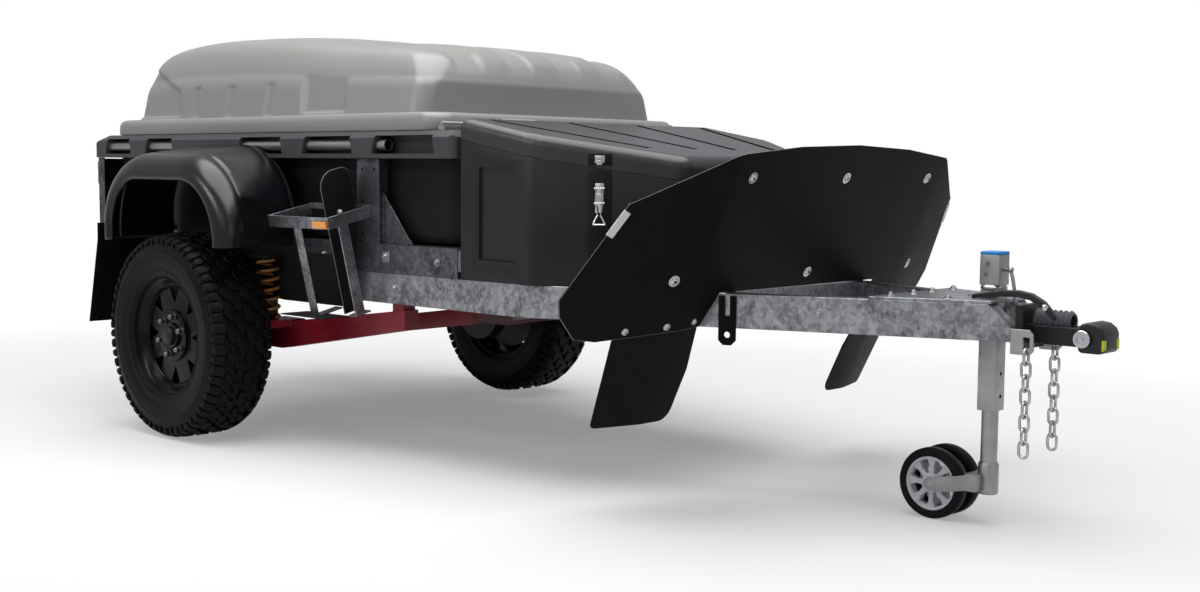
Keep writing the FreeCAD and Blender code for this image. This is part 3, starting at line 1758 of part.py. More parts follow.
def make_lever():
    seat = rail_top + size.nose_plate_thick + size.seat_gap
    rear = size.nose_plate_front - size.rail_high
    knee = size.coupling_plate_front
    tip = size.lever_tip_x
    tip_z = size.coupling_head_top + size.lever_clear
    lever = plate("lever_plate", "XZ", [
        (rear, seat),
        (knee, seat),
        (tip, tip_z),
        (tip, tip_z + size.lever_thick * 2),
        (knee, seat + size.lever_rise),
        (size.nose_plate_front, seat + size.lever_rise),
        (rear, seat + size.lever_thick),
    ], size.lever_y, size.lever_thick)
    node("brake_lever", [lever])


def chain_link(x, z, along_x):
    """An eight-sided ring standing upright, flat to either of the two upright planes."""
    half_long = float(size.chain_long) * HALF_SHARE
    half_wide = float(size.chain_wide) * HALF_SHARE
    bar = float(size.chain_bar)
    y = -float(size.chain_y)

    def ring(inset):
        long = half_long - inset
        wide = half_wide - inset
        bevel = wide * HALF_SHARE
        return [
            (wide, -long + bevel), (wide, long - bevel), (wide - bevel, long), (bevel - wide, long),
            (-wide, long - bevel), (-wide, bevel - long), (bevel - wide, -long), (wide - bevel, -long),
        ]

    faces = []
    for inset in (0, bar):
        if along_x:
            marks = [point(x + u, y - bar * HALF_SHARE, z + v) for u, v in ring(inset)]
        else:
            marks = [point(x - bar * HALF_SHARE, y + u, z + v) for u, v in ring(inset)]
        faces.append(Part.Face(Part.makePolygon(marks + [marks[0]])))
    way = point(0, bar, 0) if along_x else point(bar, 0, 0)
    return faces[0].extrude(way).cut(faces[1].extrude(way))


def make_chains():
    lug_x = size.nose_x + size.seat_gap
    slot_low = size.lug_slot_low
    slot_half = size.lug_slot_half
    chamfer = size.lug_chamfer
    nose = lug_x + size.lug_long
    sheet = plate("chain_lug_sheet", "XZ", [
        (lug_x, size.lug_low),
        (nose - chamfer, size.lug_low),
        (nose, size.lug_low + chamfer),
        (nose, size.lug_top - chamfer),
        (nose - chamfer, size.lug_top),
        (lug_x, size.lug_top),
    ], size.chain_y - size.lug_thick * HALF_SHARE, size.lug_thick)
    slot = block("chain_lug_slot",
                 (lug_x + size.lug_reach - slot_half, -size.chain_y - size.lug_thick, slot_low),
                 (slot_half * 2, size.lug_thick * 2, size.lug_slot_high))
    node("chain_lugs", [both_sides("chain_lug_pair", cut("chain_lug_near", sheet, slot))])
    gap = float(size.seat_gap)
    bar = float(size.chain_bar)
    pitch = float(size.chain_long) - bar * 2 - gap
    top = float(slot_low) + gap + bar - float(size.chain_long) * HALF_SHARE
    links = []
    for index in range(CHAIN_LINKS):
        shape = chain_link(float(lug_x + size.lug_reach), top - pitch * index, index % 2 == 1)
        links.append(made("chain_link_" + str(index), shape))
    node("safety_chains", [both_sides("chain_pair", group("chain_near", links))])


# Lamps

def make_lamps():
    corner = float(size.lamp_corner)
    lens = soft_prism([
        (-size.rail_outer, size.lamp_low, corner),
        (-size.lamp_inner, size.lamp_low, corner),
        (-size.lamp_inner, size.lamp_low + size.lamp_long, corner),
        (-size.rail_outer, size.lamp_low + size.lamp_long, corner),
    ], "YZ", -size.rail_rear - size.lamp_thick, size.lamp_thick)
    node("tail_lamps", [both_sides("tail_lamp_pair", made("tail_lamp_near", lens))])
    corner = point(
        float(size.holder_front - size.holder_thick - size.marker_long),
        -float(size.holder_half + size.marker_thick + size.seat_gap),
        float(size.holder_top - size.holder_bar + size.holder_thick),
    )
    marker = Part.makeBox(float(size.marker_long), float(size.marker_thick), float(size.marker_high), corner)
    marker.rotate(point(0, -size.rail_outer, size.holder_top), point(1, 0, 0), float(size.holder_lean))
    marker = made("marker_near", marker)
    node("side_markers", [both_sides("marker_pair", marker)])


def report_faults():
    """Stops when any object failed or any kept piece isn't a sound shape."""
    doc.recompute()
    faults = []
    for thing in doc.Objects:
        if "Invalid" in thing.State or "Error" in thing.State:
            faults.append(thing.Name + " " + str(thing.State))
    for name, thing in NODES.items():
        shape = thing.Shape
        if shape.isNull() or not shape.isValid() or not shape.Solids:
            faults.append(name + " is not a sound shape")
    if faults:
        raise RuntimeError("; ".join(faults))


def write_pieces():
    os.makedirs("parts", exist_ok=True)
    for name, thing in NODES.items():
        thing.Shape.exportStep("parts/" + name + ".step")
        box = thing.Shape.BoundBox
        limits = (box.XMin, box.YMin, box.ZMin, box.XMax, box.YMax, box.ZMax)
        print(name, len(thing.Shape.Solids), [round(value) for value in limits])


make_wheels()
make_chassis()
make_posts()
make_tub()
make_rim_ring()
make_tailgate()
make_lid_shell()
make_lid_hinges()
make_box_body()
make_box_lid()
make_box_hinges()
make_latches()
make_guard()
make_guard_brackets()
make_flaps()
make_mudguards()
make_suspension()
make_holders()
make_jockey_case()
make_jockey_wheels()
make_coupling()
make_lever()
make_chains()
make_lamps()
report_faults()
write_pieces()
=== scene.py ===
# %% [markdown]
# # An off-road camping trailer
# This lesson dresses a small towed trailer: a moulded tub under a hard domed lid, a toolbox on the
# nose, a sheet stone guard, knobbly tyres and a galvanised drawbar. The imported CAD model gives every
# place and size in metres, so each new piece is made where its solid stands.

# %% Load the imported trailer
import json
import math

import bmesh
import bpy
from mathutils import Matrix, Vector
from mathutils.bvhtree import BVHTree


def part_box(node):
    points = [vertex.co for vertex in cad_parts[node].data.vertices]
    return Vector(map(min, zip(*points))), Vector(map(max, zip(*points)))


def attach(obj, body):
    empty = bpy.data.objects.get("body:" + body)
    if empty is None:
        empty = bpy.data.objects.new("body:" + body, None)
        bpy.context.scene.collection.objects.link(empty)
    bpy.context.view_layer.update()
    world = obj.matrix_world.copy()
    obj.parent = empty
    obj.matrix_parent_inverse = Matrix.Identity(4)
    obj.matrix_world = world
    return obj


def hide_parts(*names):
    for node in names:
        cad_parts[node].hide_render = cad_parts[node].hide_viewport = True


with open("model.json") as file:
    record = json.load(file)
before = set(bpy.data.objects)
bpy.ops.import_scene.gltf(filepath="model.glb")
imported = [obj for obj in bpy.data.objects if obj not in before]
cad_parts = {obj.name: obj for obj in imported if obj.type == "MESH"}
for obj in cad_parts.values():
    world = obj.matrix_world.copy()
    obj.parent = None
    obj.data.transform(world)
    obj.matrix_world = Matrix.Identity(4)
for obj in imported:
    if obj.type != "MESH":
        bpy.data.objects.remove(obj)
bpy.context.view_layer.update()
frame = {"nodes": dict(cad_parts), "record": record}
record = frame["record"]
BODY = {node: body for body, nodes in record["behaviour"]["bodies"].items() for node in nodes}
SLOT = {part["node"]: part["material_slot"] for part in record["subparts"]}
axle_low, axle_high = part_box("tyre_near")
AXLE = (axle_low.x + axle_high.x) / 2
WHEEL_Z = (axle_low.z + axle_high.z) / 2
WHEEL_Y = -(axle_low.y + axle_high.y) / 2
print("nodes", len(SLOT), "axle at", round(AXLE, 4))

# %% [markdown]
# Places on the trailer are easiest to think of from the middle of the axle, so one helper turns such
# a place into the frame's own.

# %% Places measured from the axle
def at(x, y, z):
    return Vector((x + AXLE, y, z))


# %% [markdown]
# Shader patterns are sums: a mask times a depth, plus a little noise. Wrapping a socket in a small
# class lets Python's own operators write those sums, and each operator adds its Math node.

# %% Shader maths as Python
class Value:
    """One changing number in a shader, which Python's operators combine."""

    def __init__(self, nodes, socket):
        self.nodes = nodes
        self.socket = socket

    def maths(self, operation, *terms):
        node = self.nodes.add("ShaderNodeMath", {"operation": operation}, dict(enumerate(terms)))
        return Value(self.nodes, node.outputs[0])

    def __add__(self, other):
        return self.maths("ADD", self, other)

    def __sub__(self, other):
        return self.maths("SUBTRACT", self, other)

    def __rsub__(self, other):
        return self.maths("SUBTRACT", other, self)

    def __mul__(self, other):
        return self.maths("MULTIPLY", self, other)

    def __pow__(self, other):
        return self.maths("POWER", self, other)

    def larger(self, other):
        return self.maths("MAXIMUM", self, other)

    def clamp(self, low=0.0, high=1.0):
        return self.maths("MINIMUM", self.larger(low), high)

    __radd__ = __add__
    __rmul__ = __mul__


# %% [markdown]
# A node is always made in the same order: its kind, its settings, then what its sockets hold or are
# linked to. One method does that for every tree, so a material is a few lines that read as a list.

# %% One way to make a node
class Nodes:
    """A node tree whose new nodes all come from add()."""

    def __init__(self, tree):
        self.tree = tree

    def add(self, kind, settings=None, inputs=None):
        node = self.tree.nodes.new(kind)
        for key, setting in (settings or {}).items():
            setattr(node, key, setting)
        for key, value in (inputs or {}).items():
            self.feed(node.inputs[key], value)
        return node

    def feed(self, socket, value):
        if isinstance(value, Value):
            value = value.socket
        if isinstance(value, bpy.types.NodeSocket):
            self.tree.links.new(value, socket)
        else:
            socket.default_value = value


class Finish(Nodes):
    """A material round one Principled shader, its patterns on Object coordinates."""

    def __init__(self, name, colour, roughness, metallic=0.0, **sockets):
        self.material = bpy.data.materials.new(name)
        self.material.use_nodes = True
        self.material.diffuse_color = (*colour, 1.0)
        super().__init__(self.material.node_tree)
        self.shader = self.tree.nodes["Principled BSDF"]
        self.place = self.add("ShaderNodeTexCoord").outputs["Object"]
        self.set(Base_Color=(*colour, 1.0), Roughness=roughness, Metallic=metallic, **sockets)

    def set(self, **sockets):
        for key, value in sockets.items():
            self.feed(self.shader.inputs[key.replace("_", " ")], value)
        return self

    def stretched(self, scale):
        return self.add("ShaderNodeMapping", None, {"Vector": self.place, "Scale": scale}).outputs[0]

    def noise(self, scale, detail=3.0, rough=0.5, vector=None):
        node = self.add("ShaderNodeTexNoise", None, {
            "Vector": vector or self.place, "Scale": scale, "Detail": detail, "Roughness": rough})
        return Value(self, node.outputs[0])

    def crystals(self, scale):
        """A random shade for each cell of a Voronoi pattern."""
        cells = self.add("ShaderNodeTexVoronoi", None, {"Vector": self.place, "Scale": scale})
        shade = self.add("ShaderNodeSeparateColor", None, {0: cells.outputs["Color"]})
        return Value(self, shade.outputs[0])

    def axis(self, index):
        node = self.add("ShaderNodeSeparateXYZ", None, {0: self.place})
        return Value(self, node.outputs[index])

    def blend(self, share, first, second):
        """Mixes two colours: sockets 6 and 7 of a colour Mix node are its two colours."""
        node = self.add("ShaderNodeMix", {"data_type": "RGBA"},
                        {0: share, 6: (*first, 1.0), 7: (*second, 1.0)})
        return node.outputs[2]

    def relief(self, height, depth, strength=1.0):
        node = self.add("ShaderNodeBump", None, {"Height": height, "Distance": depth, "Strength": strength})
        return self.set(Normal=node.outputs[0])


# %% [markdown]
# ## Finishes
# Moulded polythene and ABS have a fine leathery grain, so they share one recipe: a grain of small
# cells in the bump, slow noise in the colour where hands and dust have been, and a roughness that
# wanders a little. Only the colour, the gloss and the size of the grain change.

# %% Moulded plastics
def moulded(name, colour, gloss, grain=900.0, depth=0.00012, dust=0.25, coat=0.0, shine=0.22):
    finish = Finish(name, colour, gloss, Coat_Weight=coat, Coat_Roughness=0.25, Specular_IOR_Level=shine)
    patches = finish.noise(5.0, 4.0, 0.6)
    fine = finish.noise(grain, 2.0, 0.6)
    lighter = tuple(channel * (1 + dust) + 0.012 * dust for channel in colour)
    finish.set(Base_Color=finish.blend((patches * 1.6 - 0.3).clamp(), colour, lighter),
               Roughness=(patches - 0.5) * 0.16 + fine * 0.08 + (gloss - 0.04))
    return finish.relief(fine, depth).material


lid_grey = moulded("lid_grey", (0.198, 0.194, 0.186), 0.36, 1100.0, 0.00006, 0.05, 0.1, 0.4)
box_black = moulded("box_black", (0.0105, 0.0105, 0.0125), 0.42, 700.0, 0.00016, 0.5, shine=0.2)
tub_black = moulded("tub_black", (0.005, 0.005, 0.006), 0.45, 800.0, 0.00014, 0.4, shine=0.12)
rim_black = moulded("rim_charcoal", (0.034, 0.034, 0.038), 0.4, 750.0, 0.00014, 0.4, shine=0.3)
box_lid_black = moulded("toolbox_lid_black", (0.013, 0.013, 0.0165), 0.34, 700.0, 0.00014, 0.5, shine=0.5)
guard_black = moulded("mudguard_black", (0.004, 0.004, 0.0055), 0.2, 500.0, 0.00022, 0.15, shine=0.38)
hub_white = moulded("hub_white", (0.52, 0.52, 0.56), 0.4, 900.0, 0.00006, 0.05)
cap_blue = moulded("cap_blue", (0.02, 0.19, 0.46), 0.35, 900.0, 0.00006, 0.1)
sleeve_grey = moulded("sleeve_grey", (0.07, 0.07, 0.085), 0.45, 600.0, 0.0001, 0.3)
shroud_black = moulded("shroud_black", (0.008, 0.008, 0.010), 0.36, 500.0, 0.0002, 0.5, shine=0.3)
patch_yellow = moulded("patch_yellow", (0.50, 0.52, 0.02), 0.4, 900.0, 0.00006, 0.1)
# painted_shade_black is painted shade: near black for groove floors and for discs that stand for holes.
painted_shade_black = moulded("painted_shade_black", (0.0015, 0.0015, 0.0015), 0.7, 900.0, 0.00006, 0.1, shine=0.05)
print("plastics made")

# %% [markdown]
# Hot-dip galvanising freezes into flat crystals. Each crystal, a Voronoi cell, mirrors the light a
# little differently, and a mottle and a slow noise add the grey bloom of weathering over them. Zinc
# that is plated on cold has no crystals, so there only the bloom is left.

# %% Zinc and chrome
def zinc(name, bright, dull, roughness, spangle=None):
    finish = Finish(name, bright, roughness, 1.0)
    bloom = finish.noise(7.0, 5.0, 0.65)
    if spangle:
        mottle = finish.noise(24.0, 8.0, 0.78, finish.stretched((1.2, 1.2, 0.7)))
        share = ((bloom * 0.5 + mottle * 0.8 + finish.crystals(spangle) * 0.16) * 3.6 - 2.16).clamp()
    else:
        share = (bloom * 1.5 - 0.35).clamp()
    streak = finish.noise(60.0, 3.0, 0.6)
    finish.set(Base_Color=finish.blend(share, bright, dull),
               Roughness=share * 0.2 + streak * 0.12 + (roughness - 0.08))
    return finish.relief(streak, 0.0002, 0.5).material


SPANGLE = 85.0
galvanised = zinc("galvanised", (0.42, 0.43, 0.45), (0.13, 0.134, 0.143), 0.34, SPANGLE)
# A darker copy of the galvanised finish for the side channels and posts by the tub: painted shade.
zinc_darkened_for_shade = zinc("zinc_with_painted_shade", (0.17, 0.175, 0.19), (0.050, 0.053, 0.060), 0.4, SPANGLE)
bright_zinc = zinc("bright_zinc", (0.42, 0.43, 0.43), (0.22, 0.225, 0.225), 0.34)
dark_zinc = zinc("dark_zinc", (0.20, 0.20, 0.21), (0.09, 0.09, 0.10), 0.36)
chain_zinc = zinc("chain_zinc", (0.62, 0.62, 0.63), (0.30, 0.30, 0.31), 0.22)
chrome = zinc("chrome", (0.62, 0.62, 0.63), (0.4, 0.4, 0.42), 0.16)
print("metals made")

# %% [markdown]
# Paint and powder coat lie over steel. Powder coat shows orange peel, a soft noise of about 2 mm,
# and cast pieces show the sand of the mould through their paint.

# %% Paints, castings and lenses
def painted(name, colour, roughness, peel=450.0, depth=0.0002, coat=0.0, dust=0.3, shine=0.4):
    finish = Finish(name, colour, roughness, Coat_Weight=coat, Coat_Roughness=0.15, Specular_IOR_Level=shine)
    skin = finish.noise(peel, 2.0, 0.5)
    grime = finish.noise(9.0, 5.0, 0.7)
    dusty = tuple(channel * (1 - 0.3 * dust) + 0.05 * dust for channel in colour)
    finish.set(Base_Color=finish.blend((grime * 2.2 - 0.85).clamp(), colour, dusty),
               Roughness=grime * 0.18 + skin * 0.06 + (roughness - 0.12))
    return finish.relief(skin, depth).material


guard_coat = painted("guard_coat", (0.003, 0.003, 0.0034), 0.5, 420.0, 0.00022, dust=0.06, shine=0.07)
# A pale finish for bevelled edges: partly wear, partly a painted highlight along the edge.
edge_wear_and_highlight = painted("edge_wear_and_highlight", (0.30, 0.30, 0.30), 0.4, 300.0, 0.0002)
wheel_black = painted("wheel_black", (0.002, 0.002, 0.0023), 0.2, 260.0, 0.00018, 0.0, 0.01, 0.14)
arm_red = painted("arm_red", (0.15, 0.003, 0.010), 0.36, 300.0, 0.0002, 0.05)
coil_amber = painted("coil_amber", (0.25, 0.10, 0.012), 0.42, 300.0, 0.0002)
cast_black = painted("cast_black", (0.006, 0.006, 0.007), 0.42, 260.0, 0.0005, 0.05, 0.15, 0.25)
lens_red = painted("lens_red", (0.42, 0.012, 0.01), 0.2, 120.0, 0.0001, 0.6, 0.05)
lens_amber = painted("lens_amber", (0.85, 0.3, 0.02), 0.2, 120.0, 0.0001, 0.6, 0.05)
lens_white = painted("lens_white", (0.66, 0.66, 0.66), 0.25, 120.0, 0.0001, 0.2, 0.05)

# %% [markdown]
# Rubber is matt. Dust settles on it in patches, which are a touch paler and rougher, and a fine
# grain in the bump breaks up what little it mirrors.

# %% Rubber
def rubber(name, colour, roughness, grain=260.0):
    finish = Finish(name, colour, roughness, Specular_IOR_Level=0.09)
    dust = finish.noise(18.0, 6.0, 0.7)
    fine = finish.noise(grain, 3.0, 0.6)
    dusty = tuple(channel * 1.5 + 0.0015 for channel in colour)
    finish.set(Base_Color=finish.blend((dust * 2.0 - 0.6).clamp(), colour, dusty),
               Roughness=dust * 0.2 + (roughness - 0.1))
    return finish.relief(fine, 0.0003).material


tyre_rubber = rubber("tyre_rubber", (0.0030, 0.0030, 0.0033), 0.44)
flap_rubber = rubber("flap_rubber", (0.0028, 0.0028, 0.003), 0.5, 420.0)
roller_rubber = rubber("roller_rubber", (0.005, 0.005, 0.0055), 0.36)
print("materials", len(bpy.data.materials))

# %% [markdown]
# ## From mesh to piece
# A piece is a mesh with its finish, a body to ride on, and the plain solids that it stands for.
# Every piece is made by the same helper, so none of the three is forgotten.

# %% Make a piece
def piece(bm, name, body, material, slot, *stands_for, smooth=35.0, extra=()):
    """Turns a bmesh into a piece that rides on a body, and hides the solids it stands for."""
    bmesh.ops.recalc_face_normals(bm, faces=bm.faces)
    mesh = bpy.data.meshes.new(name)
    bm.to_mesh(mesh)
    bm.free()
    for paint in (material, *extra):
        mesh.materials.append(paint)
    mesh.shade_smooth()
    mesh.set_sharp_from_angle(angle=math.radians(smooth))
    made = bpy.data.objects.new(name, mesh)
    bpy.context.scene.collection.objects.link(made)
    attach(made, body)
    if stands_for:
        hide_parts(*stands_for)
    print(name, len(mesh.polygons), "faces")
    return made


def walled(made, thickness):
    """Gives a sheet its wall, inwards from the surface that was drawn."""
    wall = made.modifiers.new("wall", "SOLIDIFY")
    wall.thickness = thickness
    wall.offset = -1.0


# %% [markdown]
# Sheet-metal and moulded solids already have the right shape, but their edges are knife sharp. A copy
# of the solid's mesh is merged, its flat triangles are joined, and every sharp edge gets a small
# bevel, which is what catches the light on a real edge.

# %% Round the edges of a solid
MERGE = 0.00002


def solid_copy(node):
    """The merged mesh of a CAD node, its flat faces joined."""
    bm = bmesh.new()
    bm.from_mesh(frame["nodes"][node].data)
    bmesh.ops.remove_doubles(bm, verts=bm.verts, dist=MERGE)
    bmesh.ops.dissolve_limit(bm, angle_limit=math.radians(0.6), use_dissolve_boundaries=False,
                             verts=bm.verts, edges=bm.edges)
    return bm


def rounded(bm, width, segments=2, angle=32.0, start=0, material=-1):
    """Bevels the sharp edges of the faces from a number on."""
    bm.faces.ensure_lookup_table()
    edges = dict.fromkeys(edge for face in bm.faces[start:] for edge in face.edges
                          if edge.is_manifold and math.degrees(edge.calc_face_angle(0.0)) > angle)
    bmesh.ops.bevel(bm, geom=list(edges), offset=width, offset_type="OFFSET", affect="EDGES",
                    segments=segments, profile=0.5, material=material, clamp_overlap=True)


def dress(node, material, width, segments=2, extra=(), edge_material=-1):
    """Shows a solid by its own shape, with round edges and even shading."""
    bm = solid_copy(node)
    rounded(bm, width, segments, material=edge_material)
    made = piece(bm, node + "_dressed", BODY[node], material, SLOT[node], node, extra=extra)
    made.modifiers.new("even_shading", "WEIGHTED_NORMAL").keep_sharp = True


# %% [markdown]
# More than half of the trailer is dressed in this way. Each row has a finish, the width of the bevel
# and the solids. Folded sheet gets about 1 mm, rolled sections and mouldings 2 or 3 mm. The holders'
# plates have a second, pale finish on their bevels: partly wear where use has rubbed the edge bare,
# and partly a painted highlight along the edge.

# %% Dress the plain solids
PLAIN = (
    (galvanised, 0.002, "main_rails cross_members"),
    (galvanised, 0.003, "drawbar_arms"),
    (galvanised, 0.0015, "nose_plate"),
    (galvanised, 0.001, "can_holders"),
    # The channels and posts get the darker zinc, which is painted shade.
    (zinc_darkened_for_shade, 0.0018, "side_channels"),
    (zinc_darkened_for_shade, 0.0015, "side_posts rear_posts"),
    (guard_coat, 0.001, "tie_brackets mudguard_stays guard_brackets"),
    (tub_black, 0.001, "tub"),
    (tub_black, 0.003, "tailgate"),
    (rim_black, 0.0025, "tub_rim"),
    (bright_zinc, 0.0004, "grab_tubes"),
    (bright_zinc, 0.0006, "gate_hinges"),
    (bright_zinc, 0.0008, "box_hinges jockey_stem"),
    (bright_zinc, 0.001, "lid_hinges hinge_blocks chain_lugs"),
    (flap_rubber, 0.001, "front_flaps rear_flaps"),
    (arm_red, 0.003, "trailing_arms"),
    (cast_black, 0.001, "spring_seats dampers"),
    (cast_black, 0.002, "hubs"),
    (cast_black, 0.003, "coupling_base"),
    (lens_amber, 0.0015, "side_markers"),
)
for material, width, nodes in PLAIN:
    for node in nodes.split():
        dress(node, material, width)
dress("holder_plates", tub_black, 0.0008, 1, (edge_wear_and_highlight,), 1)

# %% [markdown]
# ## Ways of making a piece
# Most other hard parts of a trailer are made in one of four ways, and so are their models: turned on
# an axis, pushed out of a flat outline, cut from a rod, or lofted over a row of sections. Turning
# spins half of the section right round the axis and merges where the two ends meet.

# %% Turned on an axis
WAYS = {"X": Vector((1, 0, 0)), "Y": Vector((0, 1, 0)), "Z": Vector((0, 0, 1))}
OUTWARD = {"X": Vector((0, 0, 1)), "Y": Vector((1, 0, 0)), "Z": Vector((1, 0, 0))}


def chained(bm, line, closed):
    """Joins vertices in a row with edges."""
    pairs = list(zip(line, line[1:])) + ([(line[-1], line[0])] if closed else [])
    return [bm.edges.new(pair) for pair in pairs]


def turned(bm, profile, centre, axis, steps=48, closed=True, sign=1.0):
    """Spins a line of (radius, distance along the axis) points into a body of revolution."""
    way = WAYS[axis] * sign
    before = len(bm.verts)
    verts = [bm.verts.new(centre + OUTWARD[axis] * radius + way * along) for radius, along in profile]
    edges = chained(bm, verts, closed)
    bmesh.ops.spin(bm, geom=verts + edges, cent=centre, axis=way, angle=math.tau, steps=steps, use_merge=True)
    bm.verts.ensure_lookup_table()
    bmesh.ops.remove_doubles(bm, verts=bm.verts[before:], dist=MERGE / 2)


# %% [markdown]
# A flat outline is filled with one face, and extruding that face pushes it into a plate. Rods and
# blocks start from Blender's own cone and cube. A bolt is three rods: washer, six-sided head, point.

# %% Pushed outlines, rods, blocks and bolts
def new_verts(made):
    return [item for item in made["geom"] if isinstance(item, bmesh.types.BMVert)]


def pushed(bm, corners, push):
    """Fills the corners with a face and pushes it into a solid; returns the far side's vertices."""
    face = bm.faces.new([bm.verts.new(corner) for corner in corners])
    top = new_verts(bmesh.ops.extrude_face_region(bm, geom=[face]))
    bmesh.ops.translate(bm, verts=top, vec=push)
    return top


def rod(bm, start, end, radius, sides=16, tip=None):
    start, end = Vector(start), Vector(end)
    turn = (end - start).to_track_quat("Z", "Y").to_matrix().to_4x4()
    bmesh.ops.create_cone(bm, cap_ends=True, cap_tris=False, segments=sides, radius1=radius,
                          radius2=radius if tip is None else tip, depth=(end - start).length,
                          matrix=Matrix.Translation((start + end) / 2) @ turn)


def block(bm, low, high):
    low, high = Vector(low), Vector(high)
    pose = Matrix.Translation((low + high) / 2) @ Matrix.Diagonal((*(high - low), 1.0))
    bmesh.ops.create_cube(bm, size=1.0, matrix=pose)


def bolt(bm, place, way, across=0.017, washer=0.014):
    """A hexagon head on a washer, seated at a place and facing a way."""
    place, way = Vector(place), Vector(way).normalized()
    rod(bm, place - way * 0.001, place + way * 0.002, washer, 20)
    rod(bm, place + way * 0.002, place + way * 0.009, across / 2 / math.cos(math.pi / 6), 6, across / 2)
    rod(bm, place + way * 0.009, place + way * 0.0125, across * 0.28, 12)


# %% [markdown]
# A loft extrudes one line of edges again and again, and after each extrusion moves the new line on
# to the next section. It follows a shape that changes along its length, such as an arch or a dome.

# %% Lofted over rows
def loft(bm, rows, closed):
    """Extrudes a line of edges from section to section."""
    line = [bm.verts.new(place) for place in rows[0]]
    edges = chained(bm, line, closed)
    for row in rows[1:]:
        fresh = set(new_verts(bmesh.ops.extrude_edge_only(bm, edges=edges)))
        line = [next(edge.other_vert(vert) for edge in vert.link_edges if edge.other_vert(vert) in fresh)
                for vert in line]
        for vert, place in zip(line, row):
            vert.co = place
        ends = zip(line, line[1:] + line[:1] if closed else line[1:])
        edges = [bm.edges.get(pair) for pair in ends]


def soft(value, low, high):
    """Rises from 0 to 1 between two values, level at both ends."""
    share = min(max((value - low) / (high - low), 0.0), 1.0)
    return share * share * (3 - 2 * share)


# %% [markdown]
# ## The domed lid
# The lid is one deep moulding. Its walls stand nearly upright to a crease, step in, and roll over a
# large shoulder to a roof that falls towards the nose. Subdivision would soften the crease and the
# step away, so the lid is lofted: each row of a table gives one ring round the dome. Lengths in all
# these tables are metres from the middle of the axle.

# %% Rings of the lid
FOOT_Z = 1.155
ROOF = ((-1.0, 1.435), (-0.78, 1.448), (-0.47, 1.4755), (-0.17, 1.4755), (0.15, 1.461), (0.33, 1.441),
        (0.5, 1.424), (0.72, 1.411), (0.88, 1.398), (1.03, 1.386), (1.2, 1.37))
# Height share, half width, rear, front, rear corner and front corner
DOME = (
    (0.0, 0.5770, 0.769, 1.003, 0.060, 0.055),
    (0.2, 0.5640, 0.769, 1.002, 0.062, 0.056),
    (0.36, 0.5540, 0.768, 1.001, 0.064, 0.058),
    (0.44, 0.5450, 0.7675, 1.000, 0.068, 0.062),
    (0.50, 0.5350, 0.766, 0.995, 0.072, 0.066),
    (0.60, 0.5230, 0.763, 0.985, 0.080, 0.074),
    (0.73, 0.5020, 0.757, 0.968, 0.095, 0.088),
    (0.82, 0.4800, 0.748, 0.951, 0.112, 0.104),
    (0.88, 0.4530, 0.734, 0.934, 0.130, 0.122),
    (0.925, 0.4140, 0.710, 0.911, 0.145, 0.140),
    (0.955, 0.3610, 0.672, 0.880, 0.155, 0.150),
    (0.98, 0.2740, 0.590, 0.820, 0.155, 0.150),
    (0.993, 0.1700, 0.460, 0.710, 0.120, 0.120),
    (1.0, 0.0, 0.200, 0.450, 0.0, 0.0),
)
# Height, half width, rear and front of the lip that the dome stands on
LIP = (
    (1.1100, 0.5920, 0.897, 1.102), (1.0965, 0.5930, 0.898, 1.103), (1.0950, 0.5960, 0.901, 1.106),
    (1.0965, 0.5990, 0.904, 1.109), (1.1010, 0.6000, 0.905, 1.110), (1.1160, 0.6000, 0.905, 1.110),
    (1.1280, 0.5995, 0.9045, 1.1095), (1.1380, 0.5975, 0.9025, 1.1075), (1.1460, 0.5935, 0.8985, 1.1035),
    (1.1515, 0.5880, 0.893, 1.098), (1.1543, 0.5830, 0.880, 1.085), (1.1550, 0.5800, 0.820, 1.050),
)
LIP_CORNER = 0.074
NOSE_BOW = 0.028
SIDE_POINTS = 130
CORNER_POINTS = 22
HALF_END_POINTS = 36

# %% [markdown]
# A table holds only a few rows, so a smooth curve is read between them. A ring is drawn for one half,
# from the middle of the nose round a corner, along the side and round to the middle of the tail, and
# then mirrored. All rings have the same number of points, as a loft needs.

# %% One ring of the lid
def eased(table, place):
    """Reads a table between its rows, on a smooth curve through them."""
    index = max(row for row in range(len(table) - 1) if table[row][0] <= place)
    near, far = table[index], table[index + 1]
    before, after = table[max(index - 1, 0)], table[min(index + 2, len(table) - 1)]
    gap = far[0] - near[0]
    t = (place - near[0]) / gap
    start, end = t * t * (2 * t - 3) + 1, t * t * (3 - 2 * t)
    leave, reach = t * (t - 1) ** 2 * gap, t * t * (t - 1) * gap
    back, on = far[0] - before[0], after[0] - near[0]
    return [start * n + end * f + leave * (f - b) / back + reach * (a - n) / on
            for b, n, f, a in zip(before[1:], near[1:], far[1:], after[1:])]


